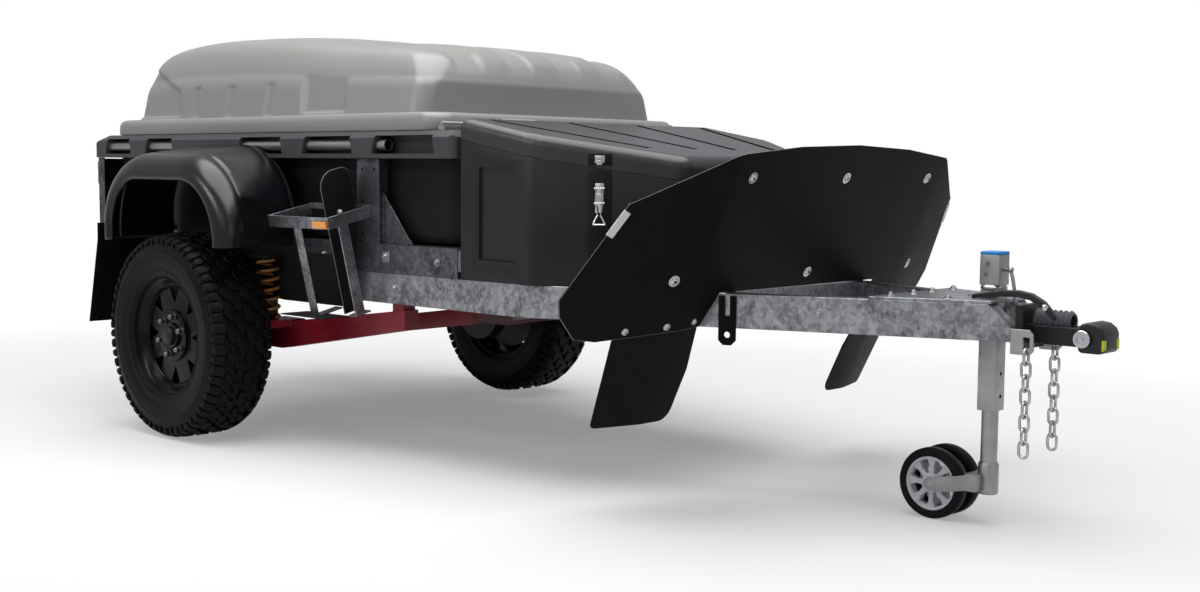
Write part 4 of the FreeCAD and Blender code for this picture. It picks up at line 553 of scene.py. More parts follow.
def ring(half, rear, front, rear_corner, front_corner, bow):
    """Points round one level, from the nose's middle round the near side and back."""
    def bowed(y):
        return bow * (1 - (y / max(half, 0.001)) ** 2)

    quarter = []
    straight = half - front_corner
    for index in range(HALF_END_POINTS):
        y = straight * index / HALF_END_POINTS
        quarter.append((front + bowed(y), y))
    for index in range(CORNER_POINTS + 1):
        turn = math.pi / 2 * index / CORNER_POINTS
        y = straight + front_corner * math.sin(turn)
        quarter.append((front - front_corner * (1 - math.cos(turn)) + bowed(y), y))
    length = front + rear - front_corner - rear_corner
    for index in range(1, SIDE_POINTS):
        quarter.append((front - front_corner - length * index / SIDE_POINTS, half))
    for index in range(CORNER_POINTS + 1):
        turn = math.pi / 2 * index / CORNER_POINTS
        y = half - rear_corner * (1 - math.cos(turn))
        quarter.append((-rear + rear_corner * (1 - math.sin(turn)), y))
    for index in range(1, HALF_END_POINTS + 1):
        quarter.append((-rear, (half - rear_corner) * (1 - index / HALF_END_POINTS)))
    return [(x, -y) for x, y in quarter] + [(x, y) for x, y in quarter[-2:0:-1]]


# %% [markdown]
# The panels pressed into the lid are masks on the loft: a share from 0 to 1 of how far a point is
# pressed in. Real tooling leaves soft edges, so each mask rises over a few millimetres. The front
# pocket is a flat panel cut into the leaning wall, the three flutes stiffen it under the crease, and
# the tail panel follows the slope of the roof.

# %% Pressed panels
PANEL_FOOT = 1.16
FLUTE_PLACES = (-0.335, -0.103, 0.149)
FLUTE_DEEP, TAIL_DEEP, CHANNEL_DEEP = 0.006, 0.011, 0.010
CHANNEL_PLACES = (0.122, 0.35)


def pressed(x, y, z):
    """How far a point of the dome is pressed in from its side."""
    slant = x + (z - PANEL_FOOT) * 0.2
    pocket = soft(slant, 0.354, 0.372) * (1 - soft(slant, 0.594, 0.612))
    pocket *= soft(z, 1.157, 1.170) * (1 - soft(z, 1.290, 1.312))
    wall_past_pocket = max(abs(y) - 0.562 + (z - PANEL_FOOT) * 0.21, 0.0)
    crease = 1.283 - max(x - 0.2, 0.0) * 0.028
    flutes = sum(1 - soft(abs(x - middle), 0.016, 0.027) for middle in FLUTE_PLACES)
    flutes *= soft(z, 1.156, 1.163) * (1 - soft(z, crease - 0.02, crease))
    above_tail = (x + 0.675) * 0.347 + (z - 1.346) * 0.938
    ahead_of_tail = (x + 0.464) * 0.937 + (z - 1.268) * 0.351
    tail = (1 - soft(max(above_tail, ahead_of_tail), -0.013, 0.002)) * soft(z, 1.157, 1.17)
    return wall_past_pocket * pocket + FLUTE_DEEP * flutes + TAIL_DEEP * tail


def channel_depth(x, y):
    """Four shallow channels run along the roof and out over its front edge."""
    depth = sum(1 - soft(abs(abs(y) - middle), 0.05, 0.068) for middle in CHANNEL_PLACES)
    return CHANNEL_DEEP * depth * soft(x, 0.30, 0.62)


# %% [markdown]
# The rings must lie close together where the shape turns. Low down they follow the height. Near the
# crown the dome is almost flat, and even steps of height would leave wide bands there, so those
# levels are searched for by halving until each ring is one step narrower than the last.

# %% Levels of the rings
CROWN_RINGS, CROWN_START, CROWN_HALF = 32, 0.92, 0.41
levels = [index / 64 for index in range(32)]
levels += [0.5 + index * 0.025 for index in range(16)] + [0.892, 0.908]
low = CROWN_START
for index in range(CROWN_RINGS):
    wanted, high = CROWN_HALF * (1 - index / CROWN_RINGS), 1.0
    while high - low > 0.00001:
        middle = (low + high) / 2
        low, high = (middle, high) if eased(DOME, middle)[0] > wanted else (low, middle)
    levels.append(low)
levels.append(1.0)
print(len(levels), "rings on the dome")

# %% [markdown]
# Now the lip's rings and the dome's are stacked, each point is pressed in where a panel is, and the
# loft joins them. At the crown the last ring closes to a line, so its doubles are merged.

# %% Loft the lid
rows = [[at(x, y, z) for x, y in ring(half, rear, front, LIP_CORNER, LIP_CORNER, 0.0)]
        for z, half, rear, front in LIP]
for level in levels:
    half, rear, front, rear_corner, front_corner = eased(DOME, level)
    bow = NOSE_BOW * (1 - soft(level, 0.75, 1.0) * 0.6)
    row = []
    for x, y in ring(half, rear, front, rear_corner, front_corner, bow):
        z = FOOT_Z + level * (eased(ROOF, x)[0] - FOOT_Z)
        inward = pressed(x, y, z) * soft(abs(y), half - 0.1, half - 0.02) if level < 0.9 else 0.0
        side = math.copysign(min(inward, abs(y)), y)
        row.append(at(x, y - side, z - channel_depth(x, y) * soft(level, 0.5, 0.9)))
    rows.append(row)
bm = bmesh.new()
loft(bm, rows, True)
bmesh.ops.remove_doubles(bm, verts=bm.verts, dist=MERGE)
walled(piece(bm, "lid_dome", "lid", lid_grey, SLOT["lid_shell"], "lid_shell", smooth=40.0), 0.004)

# %% [markdown]
# ## Tyres
# A mud tyre is a smooth carcass with rubber blocks standing on it. The carcass is turned from its
# section. One pitch of the tread, two staggered halves with centre, middle and shoulder blocks, is
# pushed out of flat outlines, bevelled once, and then spun round the tyre as copies.

# %% Tread blocks
TYRE_RADIUS = WHEEL_Z
PITCHES = 30
BLOCK_DEEP = 0.0125
# Outlines of the blocks of one half: metres round the tyre and metres out from its middle
CENTRE_BLOCK = ((-0.027, 0.004), (0.008, 0.003), (0.024, 0.012), (0.034, 0.036), (0.014, 0.043),
                (0.002, 0.028), (-0.018, 0.030))
MIDDLE_BLOCK = ((-0.024, 0.048), (-0.006, 0.038), (0.018, 0.047), (0.031, 0.070), (0.010, 0.076),
                (-0.010, 0.062))
LONG_LUG = ((-0.021, 0.080), (-0.004, 0.070), (0.013, 0.082), (0.017, 0.098), (0.017, 0.1165),
            (-0.015, 0.1165), (-0.019, 0.098))
SHORT_LUG = ((-0.016, 0.086), (0.012, 0.083), (0.015, 0.098), (0.013, 0.1125), (-0.013, 0.1125),
             (-0.017, 0.098))
# Radius and distance out of the smooth carcass, from the bead to the middle of the tread
CARCASS = (
    (0.2030, 0.080), (0.2040, 0.090), (0.2140, 0.0985), (0.2200, 0.1040), (0.2290, 0.1075), (0.2320, 0.1095),
    (0.2350, 0.1085), (0.2520, 0.1140), (0.2720, 0.1175), (0.2900, 0.1187), (0.2960, 0.1187), (0.2985, 0.1198),
    (0.3010, 0.1186), (0.3140, 0.1172), (0.3280, 0.1135), (0.3390, 0.1085), (0.3470, 0.1010), (0.3520, 0.0920),
    (0.3552, 0.0700), (0.3565, 0.0350),
)
SIDE_LUG_TOP, SIDE_LUG_HALF, SIDE_LUG_OUT, SIDE_LUG_THICK = 0.349, 0.0085, 0.1095, 0.0075


def crown(y):
    """The tread's radius at a distance from the tyre's middle."""
    return TYRE_RADIUS - 0.3 * y * y - 11.0 * max(abs(y) - 0.08, 0.0) ** 2


def tread_block(bm, centre, outline, shift, half):
    """Stands one block on the carcass, a little smaller at its top than at its foot."""
    corners = [(half * along + shift, half * out) for along, out in outline]

    def lift(along, out, sunk=0.0):
        turn, radius = along / TYRE_RADIUS, crown(out) - sunk
        return centre + Vector((radius * math.sin(turn), out, radius * math.cos(turn)))

    top = pushed(bm, [lift(along, out, BLOCK_DEEP) for along, out in corners], Vector((0, 0, 0)))
    middle = [sum(axis) / len(corners) for axis in zip(*corners)]
    for vert in top:
        foot = min(corners, key=lambda corner: (lift(*corner, BLOCK_DEEP) - vert.co).length)
        vert.co = lift(*(place + (centre_of - place) * 0.07 for place, centre_of in zip(foot, middle)))


# %% [markdown]
# One pitch is modelled, with two small lugs on each shoulder, and thirty copies of it make the ring.
# Bevelling before the spin costs the work of one pitch, not of thirty. The carcass is turned last.

# %% Tyres
def tyre(node, side):
    """Builds one tyre; side is -1 on the near side."""
    centre = Vector((AXLE, side * WHEEL_Y, WHEEL_Z))
    bm = bmesh.new()
    pitch = math.tau * TYRE_RADIUS / PITCHES
    for half in (-1, 1):
        shift = pitch * 0.25 * half
        tread_block(bm, centre, CENTRE_BLOCK, shift, half)
        tread_block(bm, centre, MIDDLE_BLOCK, shift + pitch * 0.5, half)
        tread_block(bm, centre, LONG_LUG, shift, half)
        tread_block(bm, centre, SHORT_LUG, shift + pitch * 0.5, half)
        for turn, long_ in ((0.25, 0.024), (0.75, 0.017)):
            start, wide = pitch * turn / TYRE_RADIUS, SIDE_LUG_HALF / TYRE_RADIUS
            foot = SIDE_LUG_TOP - long_
            lug = ((SIDE_LUG_TOP, start - wide), (SIDE_LUG_TOP, start + wide),
                   (foot, start + wide * 0.7), (foot, start - wide * 0.7))
            corners = [Vector((radius * math.sin(angle), half * SIDE_LUG_OUT, radius * math.cos(angle)))
                       for radius, angle in lug]
            pushed(bm, [centre + corner for corner in corners], Vector((0, half * SIDE_LUG_THICK, 0)))
    rounded(bm, 0.0016, 1, 30.0)
    bmesh.ops.spin(bm, geom=bm.verts[:] + bm.edges[:] + bm.faces[:], cent=centre, axis=WAYS["Y"],
                   angle=math.tau * (PITCHES - 1) / PITCHES, steps=PITCHES - 1, use_duplicate=True)
    section = list(CARCASS) + [(radius, -out) for radius, out in reversed(CARCASS)]
    turned(bm, section, centre, "Y", 96, closed=False)
    piece(bm, node + "_tread", BODY[node], tyre_rubber, SLOT[node], node, smooth=38.0)


for node, side in (("tyre_near", -1), ("tyre_far", 1)):
    tyre(node, side)


# %% [markdown]
# ## Steel wheels
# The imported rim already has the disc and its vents, so its copy is kept for them and bevelled. The
# barrel's two flanges and the steps down to the well are turned over it. Six cone-seated nuts and a
# dust cap fill the hub.

# %% Wheels
# Radius and distance out of each turned shape
FLANGE = ((0.2136, 0.0980), (0.2142, 0.0940), (0.2100, 0.0905), (0.2060, 0.0900), (0.2020, 0.0830),
          (0.1990, 0.0820), (0.1960, 0.0740), (0.1915, 0.0720), (0.1890, 0.0640), (0.1850, 0.0620),
          (0.1830, 0.0585))
FLANGE_BACK = ((0.2060, 0.0585), (0.2070, 0.0980))
INNER_STEPS = 7
DISH = ((0.1790, 0.0585), (0.1760, 0.0630), (0.1725, 0.0640), (0.1700, 0.0600), (0.1700, 0.0575),
        (0.1790, 0.0575))
DUST_CAP = ((0.0, 0.0975), (0.020, 0.0970), (0.029, 0.0945), (0.0335, 0.0900), (0.0345, 0.0840),
            (0.0345, 0.074), (0.0405, 0.0715), (0.0415, 0.0640), (0.0, 0.0640))
NUTS, NUT_CIRCLE = 6, 0.0698


def wheel(node, side):
    centre = Vector((AXLE, side * WHEEL_Y, WHEEL_Z))
    bm = solid_copy(node)
    rounded(bm, 0.0022, 3)
    turned(bm, FLANGE + FLANGE_BACK, centre, "Y", 72, sign=side)
    inner = FLANGE[:INNER_STEPS] + FLANGE_BACK
    turned(bm, [(radius, -out) for radius, out in inner], centre, "Y", 72, sign=side)
    turned(bm, DISH, centre, "Y", 72, sign=side)
    piece(bm, node + "_steel", BODY[node], wheel_black, SLOT[node], node, smooth=30.0)
    bm = bmesh.new()
    out = WAYS["Y"] * side
    for index in range(NUTS):
        turn = math.tau * index / NUTS + 0.3
        spot = centre + Vector((math.cos(turn), 0, math.sin(turn))) * NUT_CIRCLE
        rod(bm, spot + out * 0.068, spot + out * 0.073, 0.0135, 20)
        rod(bm, spot + out * 0.073, spot + out * 0.088, 0.0115, 6)
        rod(bm, spot + out * 0.088, spot + out * 0.094, 0.0105, 6, 0.006)
    rounded(bm, 0.0007, 1)
    piece(bm, node + "_nuts", BODY[node], dark_zinc, SLOT[node], smooth=30.0)
    bm = bmesh.new()
    turned(bm, DUST_CAP, centre, "Y", 40, closed=False, sign=side)
    piece(bm, node + "_dust_cap", BODY[node], cast_black, SLOT[node])


for node, side in (("rim_near", -1), ("rim_far", 1)):
    wheel(node, side)


# %% [markdown]
# Behind each wheel stands the brake's backing plate, a shallow pressed dish. It does not turn, so it
# rides on the chassis, and it closes the view through the vents.

# %% Brake backing plates
BACKING = ((0.0, -0.030), (0.120, -0.030), (0.128, -0.024), (0.160, -0.024), (0.168, -0.028),
           (0.172, -0.036), (0.160, -0.033), (0.0, -0.036))
bm = bmesh.new()
for side in (-1, 1):
    turned(bm, BACKING, Vector((AXLE, side * WHEEL_Y, WHEEL_Z)), "Y", 64, closed=False, sign=side)
piece(bm, "brake_backing", "chassis", cast_black, SLOT["hubs"])

# %% [markdown]
# ## Mudguards
# The arch is a vacuum-formed sheet: a wide top, a fine step, and a thick rolled lip that turns in
# round the wheel. Its section changes from the tub to the lip, so it is lofted outwards, one arch
# line after another, and given its wall by Solidify.

# %% Loft the mudguards
ARCH_REAR, ARCH_FRONT, ARCH_TOP, ARCH_FOOT = 0.405, 0.448, 1.010, 0.700
ARCH_REAR_CORNER, ARCH_FRONT_CORNER = 0.265, 0.300
ARCH_INNER, ARCH_OUTER = 0.630, 0.950
# The arch rises, and its front end draws back, from the lip to the tub
ARCH_RISE, ARCH_DRAW = 0.042, 0.069
# Distance out and distance in towards the wheel, from the tub to the rolled edge
GUARD_SECTION = (
    (0.630, 0.0), (0.650, 0.0), (0.680, 0.0), (0.715, 0.0), (0.750, 0.0), (0.785, 0.0), (0.815, 0.0),
    (0.836, 0.0), (0.845, 0.0004), (0.849, 0.0040), (0.853, 0.0046), (0.857, 0.0014), (0.865, 0.0),
    (0.882, 0.0014),
    (0.898, 0.0050), (0.9125, 0.0110), (0.925, 0.0190), (0.935, 0.0290), (0.9425, 0.0410), (0.9475, 0.0540),
    (0.9500, 0.0670), (0.9490, 0.0780), (0.9440, 0.0860), (0.9350, 0.0900), (0.9250, 0.0885),
)


def spaced(start, end, count):
    """The places between two ends, with neither of them."""
    return [start + (end - start) * index / count for index in range(1, count)]


def arch(out, inset):
    """Places along one arch line, from the rear foot over the wheel to the front foot."""
    lean = (ARCH_OUTER - out) / (ARCH_OUTER - ARCH_INNER)
    rear, front = -ARCH_REAR + inset, ARCH_FRONT - ARCH_DRAW * lean - inset
    top = ARCH_TOP + ARCH_RISE * lean - inset
    rear_corner, front_corner = ARCH_REAR_CORNER - inset, ARCH_FRONT_CORNER - inset

    def corner(middle, radius, begin):
        turns = [begin - math.pi / 2 * index / 24 for index in range(25)]
        return [(middle + radius * math.cos(turn), top - radius + radius * math.sin(turn)) for turn in turns]

    line = [(rear, ARCH_FOOT)] + [(rear, z) for z in spaced(ARCH_FOOT, top - rear_corner, 4)]
    line += corner(rear + rear_corner, rear_corner, math.pi)
    line += [(x, top) for x in spaced(rear + rear_corner, front - front_corner, 10)]
    line += corner(front - front_corner, front_corner, math.pi / 2)
    line += [(front, z) for z in spaced(top - front_corner, ARCH_FOOT, 14)]
    return line + [(front, ARCH_FOOT)]


def mudguard(node, side):
    rows = []
    for out, inset in GUARD_SECTION:
        row = []
        for x, z in arch(out, inset):
            dent = soft(x, 0.335, 0.36) * soft(out, 0.715, 0.745) * (1 - soft(out, 0.835, 0.862))
            dent *= 1 - soft(z, 0.80 + (out - 0.72) * 0.35, 0.83 + (out - 0.72) * 0.35)
            row.append(at(x - 0.022 * dent, side * out, z))
        rows.append(row)
    bm = bmesh.new()
    loft(bm, rows, False)
    walled(piece(bm, node + "_moulding", BODY[node], guard_black, SLOT[node], node, smooth=40.0), 0.0045)


for node, side in (("mudguard_near", -1), ("mudguard_far", 1)):
    mudguard(node, side)


# %% [markdown]
# Looking in past the wheel, one sees the sheets that close the well, the panels in the tub's rear
# corners and the trays that the fuel cans stand on. They are plain sheet, so they are pushed outlines.

# %% Wheel wells and trays
WELL_Y, WELL_THICK = 0.612, 0.004
WELL_REAR = [(-0.372, 0.560), (-0.400, 0.722)]
WELL_FRONT = [(0.400, 0.722), (0.400, 0.676), (0.690, 0.676), (0.700, 0.666), (0.700, 0.500), (0.300, 0.500)]
REAR_PANEL = ((0.440, 0.724), (0.598, 0.724), (0.598, 1.000), (0.440, 1.000))
bm = bmesh.new()
for side in (-1, 1):
    outline = WELL_REAR + [(x, z) for x, z in arch(0.632, 0.003) if z > 0.73] + WELL_FRONT
    pushed(bm, [at(x, side * WELL_Y, z) for x, z in outline], Vector((0, side * WELL_THICK, 0)))
    pushed(bm, [at(-1.0080, side * y, z) for y, z in REAR_PANEL], Vector((WELL_THICK, 0, 0)))
    near, far = sorted((side * 0.640, side * 0.755))
    block(bm, at(0.480, near, 0.4705), at(0.715, far, 0.4745))
rounded(bm, 0.0008, 1)
piece(bm, "arch_liners", "chassis", tub_black, SLOT["mudguard_near"])

# %% [markdown]
# ## Springs and chains
# A spin with a step along its axis winds a circle into a coil. A chain link is the same spin closed
# into a ring, whose two halves are then drawn apart, so its straight sides need no new faces. Both
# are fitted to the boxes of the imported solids, which are found by walking from vertex to vertex.

# %% Boxes of the solids in a node
def islands(node):
    """The corner boxes of the separate solids in a node."""
    bm = solid_copy(node)
    seen, boxes = set(), []
    for vert in bm.verts:
        if vert in seen:
            continue
        group = [vert]
        seen.add(vert)
        for reached in group:
            for edge in reached.link_edges:
                other = edge.other_vert(reached)
                if other not in seen:
                    seen.add(other)
                    group.append(other)
        low = Vector([min(v.co[i] for v in group) for i in range(3)])
        high = Vector([max(v.co[i] for v in group) for i in range(3)])
        boxes.append((low, high))
    bm.free()
    return boxes


# %% [markdown]
# Each spring is wound inside the box of its plain solid, so it stays where the seats are.

# %% Coil springs
COIL_TURNS, COIL_STEPS, WIRE = 6, 20, 0.0058


def wire_circle(bm, spot, radius, axis):
    """A circle of wire, turned up to stand across the way that it will be spun."""
    pose = Matrix.Translation(spot) @ Matrix.Rotation(math.pi / 2, 4, axis)
    verts = bmesh.ops.create_circle(bm, cap_ends=False, segments=10, radius=radius, matrix=pose)["verts"]
    return verts, list({edge for vert in verts for edge in vert.link_edges})


bm = bmesh.new()
for low, high in islands("coil_springs"):
    middle = (low + high) / 2
    start = Vector((high.x - WIRE, middle.y, low.z + WIRE))
    circle, loop = wire_circle(bm, start, WIRE, "X")
    steps = COIL_TURNS * COIL_STEPS
    climb = (high.z - low.z - 2 * WIRE) / steps
    bmesh.ops.spin(bm, geom=circle + loop, cent=middle, axis=WAYS["Z"], dvec=Vector((0, 0, climb)),
                   angle=math.tau * COIL_TURNS, steps=steps, use_merge=False)
bmesh.ops.holes_fill(bm, edges=bm.edges, sides=12)
piece(bm, "coil_windings", "chassis", coil_amber, SLOT["coil_springs"], "coil_springs", smooth=60.0)

# %% [markdown]
# Links stand crosswise by turns. The narrow side of a link's box says which way it faces, and its
# width says how thick the bar is.

# %% Chain links
LINK_STEPS = 18


def chain_link(bm, low, high, bar):
    """A ring whose halves are drawn apart to fill the link's box."""
    size, middle = high - low, (low + high) / 2
    flat = "Y" if size.y < size.x else "X"
    radius = max(size.x, size.y) / 2 - bar
    before = len(bm.verts)
    circle, loop = wire_circle(bm, middle + Vector((0, 0, radius)), bar, flat)
    bmesh.ops.rotate(bm, cent=middle, verts=circle, matrix=Matrix.Rotation(math.pi / LINK_STEPS, 3, flat))
    bmesh.ops.spin(bm, geom=circle + loop, cent=middle, axis=WAYS[flat], angle=math.tau, steps=LINK_STEPS,
                   use_merge=True)
    bm.verts.ensure_lookup_table()
    bmesh.ops.remove_doubles(bm, verts=bm.verts[before:], dist=MERGE / 2)
    bm.verts.ensure_lookup_table()
    drawn = size.z / 2 - radius - bar
    for vert in bm.verts[before:]:
        vert.co.z += math.copysign(drawn, vert.co.z - middle.z)


bm = bmesh.new()
for low, high in islands("safety_chains"):
    chain_link(bm, low, high, min(high.x - low.x, high.y - low.y) / 2)
piece(bm, "chain_links", "chassis", chain_zinc, SLOT["safety_chains"], "safety_chains", smooth=60.0)

# %% [markdown]
# ## Stone guard
# The guard is one laser-cut sheet, folded at two lines. Its solid is right, so the copy keeps its
# shape and only its cut edge changes: a thin pale line there is partly wear, where the coat comes
# off first, and partly a painted highlight along the edge. Button-head bolts and blank reflectors are
# seated on its faces.

# %% Guard sheet
dress("stone_guard", guard_coat, 0.0007, 1, (edge_wear_and_highlight,), 1)
sheet = frame["nodes"]["stone_guard"].data
guard_faces = BVHTree.FromPolygons([vert.co for vert in sheet.vertices],
                                   [face.vertices for face in sheet.polygons])


def seat(y, z):
    """The place and normal where a line from the front meets the guard at a given height."""
    place, normal, _, _ = guard_faces.ray_cast(at(3.5, y, z), Vector((-1, 0, 0)))
    return place, normal


# %% [markdown]
# Large button heads hold the sheet along its top, smaller ones hold the flaps. Each is a washer and a
# tapered head with a six-sided socket, and the ray that finds its seat also gives its direction.

# %% Guard bolts and reflectors
BUTTONS = ((0.0, 0.9555), (0.453, 0.9555), (-0.453, 0.9555), (0.0, 0.672), (0.615, 0.671), (-0.595, 0.671),
           (0.690, 0.530), (-0.690, 0.530), (0.562, 0.5375), (-0.562, 0.5375), (0.462, 0.547), (-0.462, 0.547))
SMALL_BELOW, SMALL_SCALE = 0.6, 0.62
heads, sockets = bmesh.new(), bmesh.new()
for y, z in BUTTONS:
    place, way = seat(y, z)
    scale = SMALL_SCALE if z < SMALL_BELOW else 1.0
    rod(heads, place - way * 0.001, place + way * 0.0022, 0.0175 * scale, 28)
    rod(heads, place + way * 0.0022, place + way * 0.0065, 0.0118 * scale, 20, 0.0082 * scale)
    # Each socket is a black hexagon on the head: painted shade where the hollow socket would be dark.
    rod(sockets, place + way * 0.006, place + way * 0.0072, 0.0045 * scale, 6)
rounded(heads, 0.0006, 1)
piece(heads, "guard_buttons", "chassis", chrome, SLOT["guard_brackets"])
piece(sockets, "guard_sockets", "chassis", cast_black, SLOT["guard_brackets"])
REFLECTOR_LONG, REFLECTOR_WIDE, REFLECTOR_THICK = 0.041, 0.0125, 0.0035
bm = bmesh.new()
for side in (-1, 1):
    place, way = seat(side * 0.832, 0.8335)
    along = Vector((0.0382, -side * 0.0272, 0.0635)).normalized()
    along = (along - way * along.dot(way)).normalized() * REFLECTOR_LONG
    wide = way.cross(along).normalized() * REFLECTOR_WIDE
    corners = [place + along * a + wide * b for a, b in ((1, 1), (-1, 1), (-1, -1), (1, -1))]
    pushed(bm, corners, way * REFLECTOR_THICK)
rounded(bm, 0.0015, 2)
piece(bm, "guard_reflectors", "chassis", lens_white, SLOT["tail_lamps"])

# %% [markdown]
# ## Nose toolbox
# The toolbox lid is a rotation moulding with a wide round all along its edge, and grooves that draw
# together towards the nose. A height is worked out for every point of its plan: it follows from the
# point's distance to the edge, to the nose and to the grooves.

# %% Height of the toolbox lid
BOX_REAR, BOX_SHOULDER, BOX_FRONT = 1.232, 1.545, 1.930
BOX_HALF, BOX_SLOPE = 0.600, 0.7013
BOX_TOP, TOP_FALL = 1.135, 0.1762
BOX_SEAM, SEAM_FALL = 1.0635, 0.1748
EDGE_ROUND, NOSE_ROUND = 0.034, 0.028
# How far out each groove starts at the rear and ends at the nose
GROOVES = ((0.520, 0.320), (0.170, 0.100), (-0.170, -0.100), (-0.520, -0.320))
GROOVE_REAR, GROOVE_FRONT = 1.272, 1.765
GROOVE_DEEP, GROOVE_FLOOR, GROOVE_EDGE = 0.0105, 0.0115, 0.0165


def box_half(x):
    """Half the toolbox's width at a place along it, its corners rounded."""
    half = BOX_HALF - max(x - BOX_SHOULDER, 0.0) * BOX_SLOPE
    half -= 0.006 * (1 - soft(abs(x - BOX_SHOULDER), 0.0, 0.03))
    past = max(x - BOX_FRONT + NOSE_ROUND, 0.0)
    return half - (NOSE_ROUND - math.sqrt(NOSE_ROUND ** 2 - past ** 2))


def groove_middles(x):
    share = (x - GROOVE_REAR) / (GROOVE_FRONT - GROOVE_REAR)
    return [start + (end - start) * share for start, end in GROOVES]


def groove_share(x, y):
    """How deep a point lies in a groove, from 0 to 1."""
    ends = soft(x, GROOVE_REAR - 0.006, GROOVE_REAR + 0.008)
    ends *= 1 - soft(x, GROOVE_FRONT - 0.008, GROOVE_FRONT + 0.006)
    return ends * sum(1 - soft(abs(y - middle), GROOVE_FLOOR, GROOVE_EDGE) for middle in groove_middles(x))


def box_top(x, y):
    """The lid's height at a point of its plan."""
    slope = 0.82 if x > BOX_SHOULDER else 1.0
    near_edge = min((box_half(x) - abs(y)) * slope, x - BOX_REAR, BOX_FRONT - x, EDGE_ROUND)
    drop = EDGE_ROUND - math.sqrt(max(EDGE_ROUND ** 2 - (EDGE_ROUND - near_edge) ** 2, 0.0))
    return BOX_TOP - (x - BOX_REAR) * TOP_FALL - drop - GROOVE_DEEP * groove_share(x, y)


# %% [markdown]
# An even grid would cut across the grooves and show their edges as dashes. So the grid's lines are
# set out: close together where the edge curves down, and along both edges of every groove.

# %% Grid lines of the toolbox lid
EDGE_STEPS, LONG_STEPS = 8, 120
edge_steps = [EDGE_ROUND * (1 - math.cos(math.pi / 2 * index / EDGE_STEPS)) for index in range(EDGE_STEPS + 1)]
long_run = BOX_FRONT - BOX_REAR - 2 * EDGE_ROUND
columns = [BOX_REAR + step for step in edge_steps]
columns += [BOX_REAR + EDGE_ROUND + long_run * index / LONG_STEPS for index in range(1, LONG_STEPS)]
columns += [BOX_FRONT - step for step in reversed(edge_steps)]


def places_across(x):
    """Places across the lid at one column, each mark followed by a number of even steps."""
    half = box_half(x)
    marks = [(half - EDGE_ROUND, 12)]
    for middle, between in zip(groove_middles(x), (18, 16, 18, 12)):
        marks += [(middle + off, 1) for off in (GROOVE_EDGE, GROOVE_FLOOR, 0.0, -GROOVE_FLOOR)]
        marks.append((middle - GROOVE_EDGE, between))
    marks.append((EDGE_ROUND - half, 1))
    across = [half - step for step in edge_steps[:-1]]
    for (left, count), (right, _) in zip(marks, marks[1:]):
        across += [left + (right - left) * index / count for index in range(count)]
    return across + [step - half for step in reversed(edge_steps)]


# %% [markdown]
# The faces of the grid are made line by line, and those on the floor of a groove get painted shade,
# a near-black finish, since little light reaches them. The skirt is extruded from the grid's border down
# to the seam, and Solidify gives the wall.

# %% Toolbox lid
bm = bmesh.new()
lines = [[(bm.verts.new(at(x, y, box_top(x, y))), groove_share(x, y)) for y in places_across(x)]
         for x in columns]
for line, following in zip(lines, lines[1:]):
    for corners in zip(line, following, following[1:], line[1:]):
        face = bm.faces.new([vert for vert, _ in corners])
        # Faces deep in a groove take the second finish, which is painted shade.
        face.material_index = int(sum(deep for _, deep in corners) > 1.0)
border = [edge for edge in bm.edges if edge.is_boundary]
for share in (0.25, 0.5, 0.97, 1.0):
    made = bmesh.ops.extrude_edge_only(bm, edges=border)["geom"]
    border = [item for item in made if isinstance(item, bmesh.types.BMEdge) and item.is_boundary]
    for vert in {vert for edge in border for vert in edge.verts}:
        along = vert.co.x - AXLE - BOX_REAR
        seam, top = BOX_SEAM - along * SEAM_FALL, BOX_TOP - along * TOP_FALL - EDGE_ROUND
        vert.co.z = top + (seam - top) * share
walled(piece(bm, "box_lid_moulding", "box_lid", box_lid_black, SLOT["box_lid"], "box_lid",
             smooth=40.0, extra=(painted_shade_black,)), 0.006)

# %% [markdown]
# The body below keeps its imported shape, but the panel on each side is pressed deeper, because a
# moulding's recess has to be deep before its shadow shows.

# %% Toolbox body
RECESS_X, RECESS_Y, RECESS_Z, RECESS_DEEPER = (1.30, 1.49), (0.595, 0.5985), (0.68, 0.99), 0.010
bm = solid_copy("front_box")
for vert in bm.verts:
    place = (vert.co.x - AXLE, abs(vert.co.y), vert.co.z)
    if all(low < value < high for value, (low, high) in zip(place, (RECESS_X, RECESS_Y, RECESS_Z))):
        vert.co.y -= math.copysign(RECESS_DEEPER, vert.co.y)
rounded(bm, 0.0035)
piece(bm, "front_box_moulding", BODY["front_box"], box_black, SLOT["front_box"], "front_box")

# %% [markdown]
# Each latch sits in a dark band that runs down the toolbox's side: a plate, a wire loop and a catch
# on the lid. They are set out along the side wall, so one helper turns such a place into the frame's.

# %% Toolbox latches
LATCH = Vector((1.7165, 0.4805, 0.0))
ALONG, OUT = Vector((0.822, -0.570, 0.0)), Vector((0.570, 0.822, 0.0))
BAND = (-0.036, 0.036)
WIRE_OUT = 0.0085


def latch_spot(side, along, out, z):
    """A place on the toolbox's side, along it, out from it and up."""
    flat = LATCH + ALONG * along + OUT * out
    return at(flat.x, side * flat.y, z)


def tab(bm, side, left, right, low, top, near, far):
    """A small block on the toolbox's side, between two depths."""
    corners = [latch_spot(side, along, near, z) for along, z in (
        (left, low), (right, low), (right, top), (left, top))]
    pushed(bm, corners, latch_spot(side, 0, far, 0) - latch_spot(side, 0, near, 0))


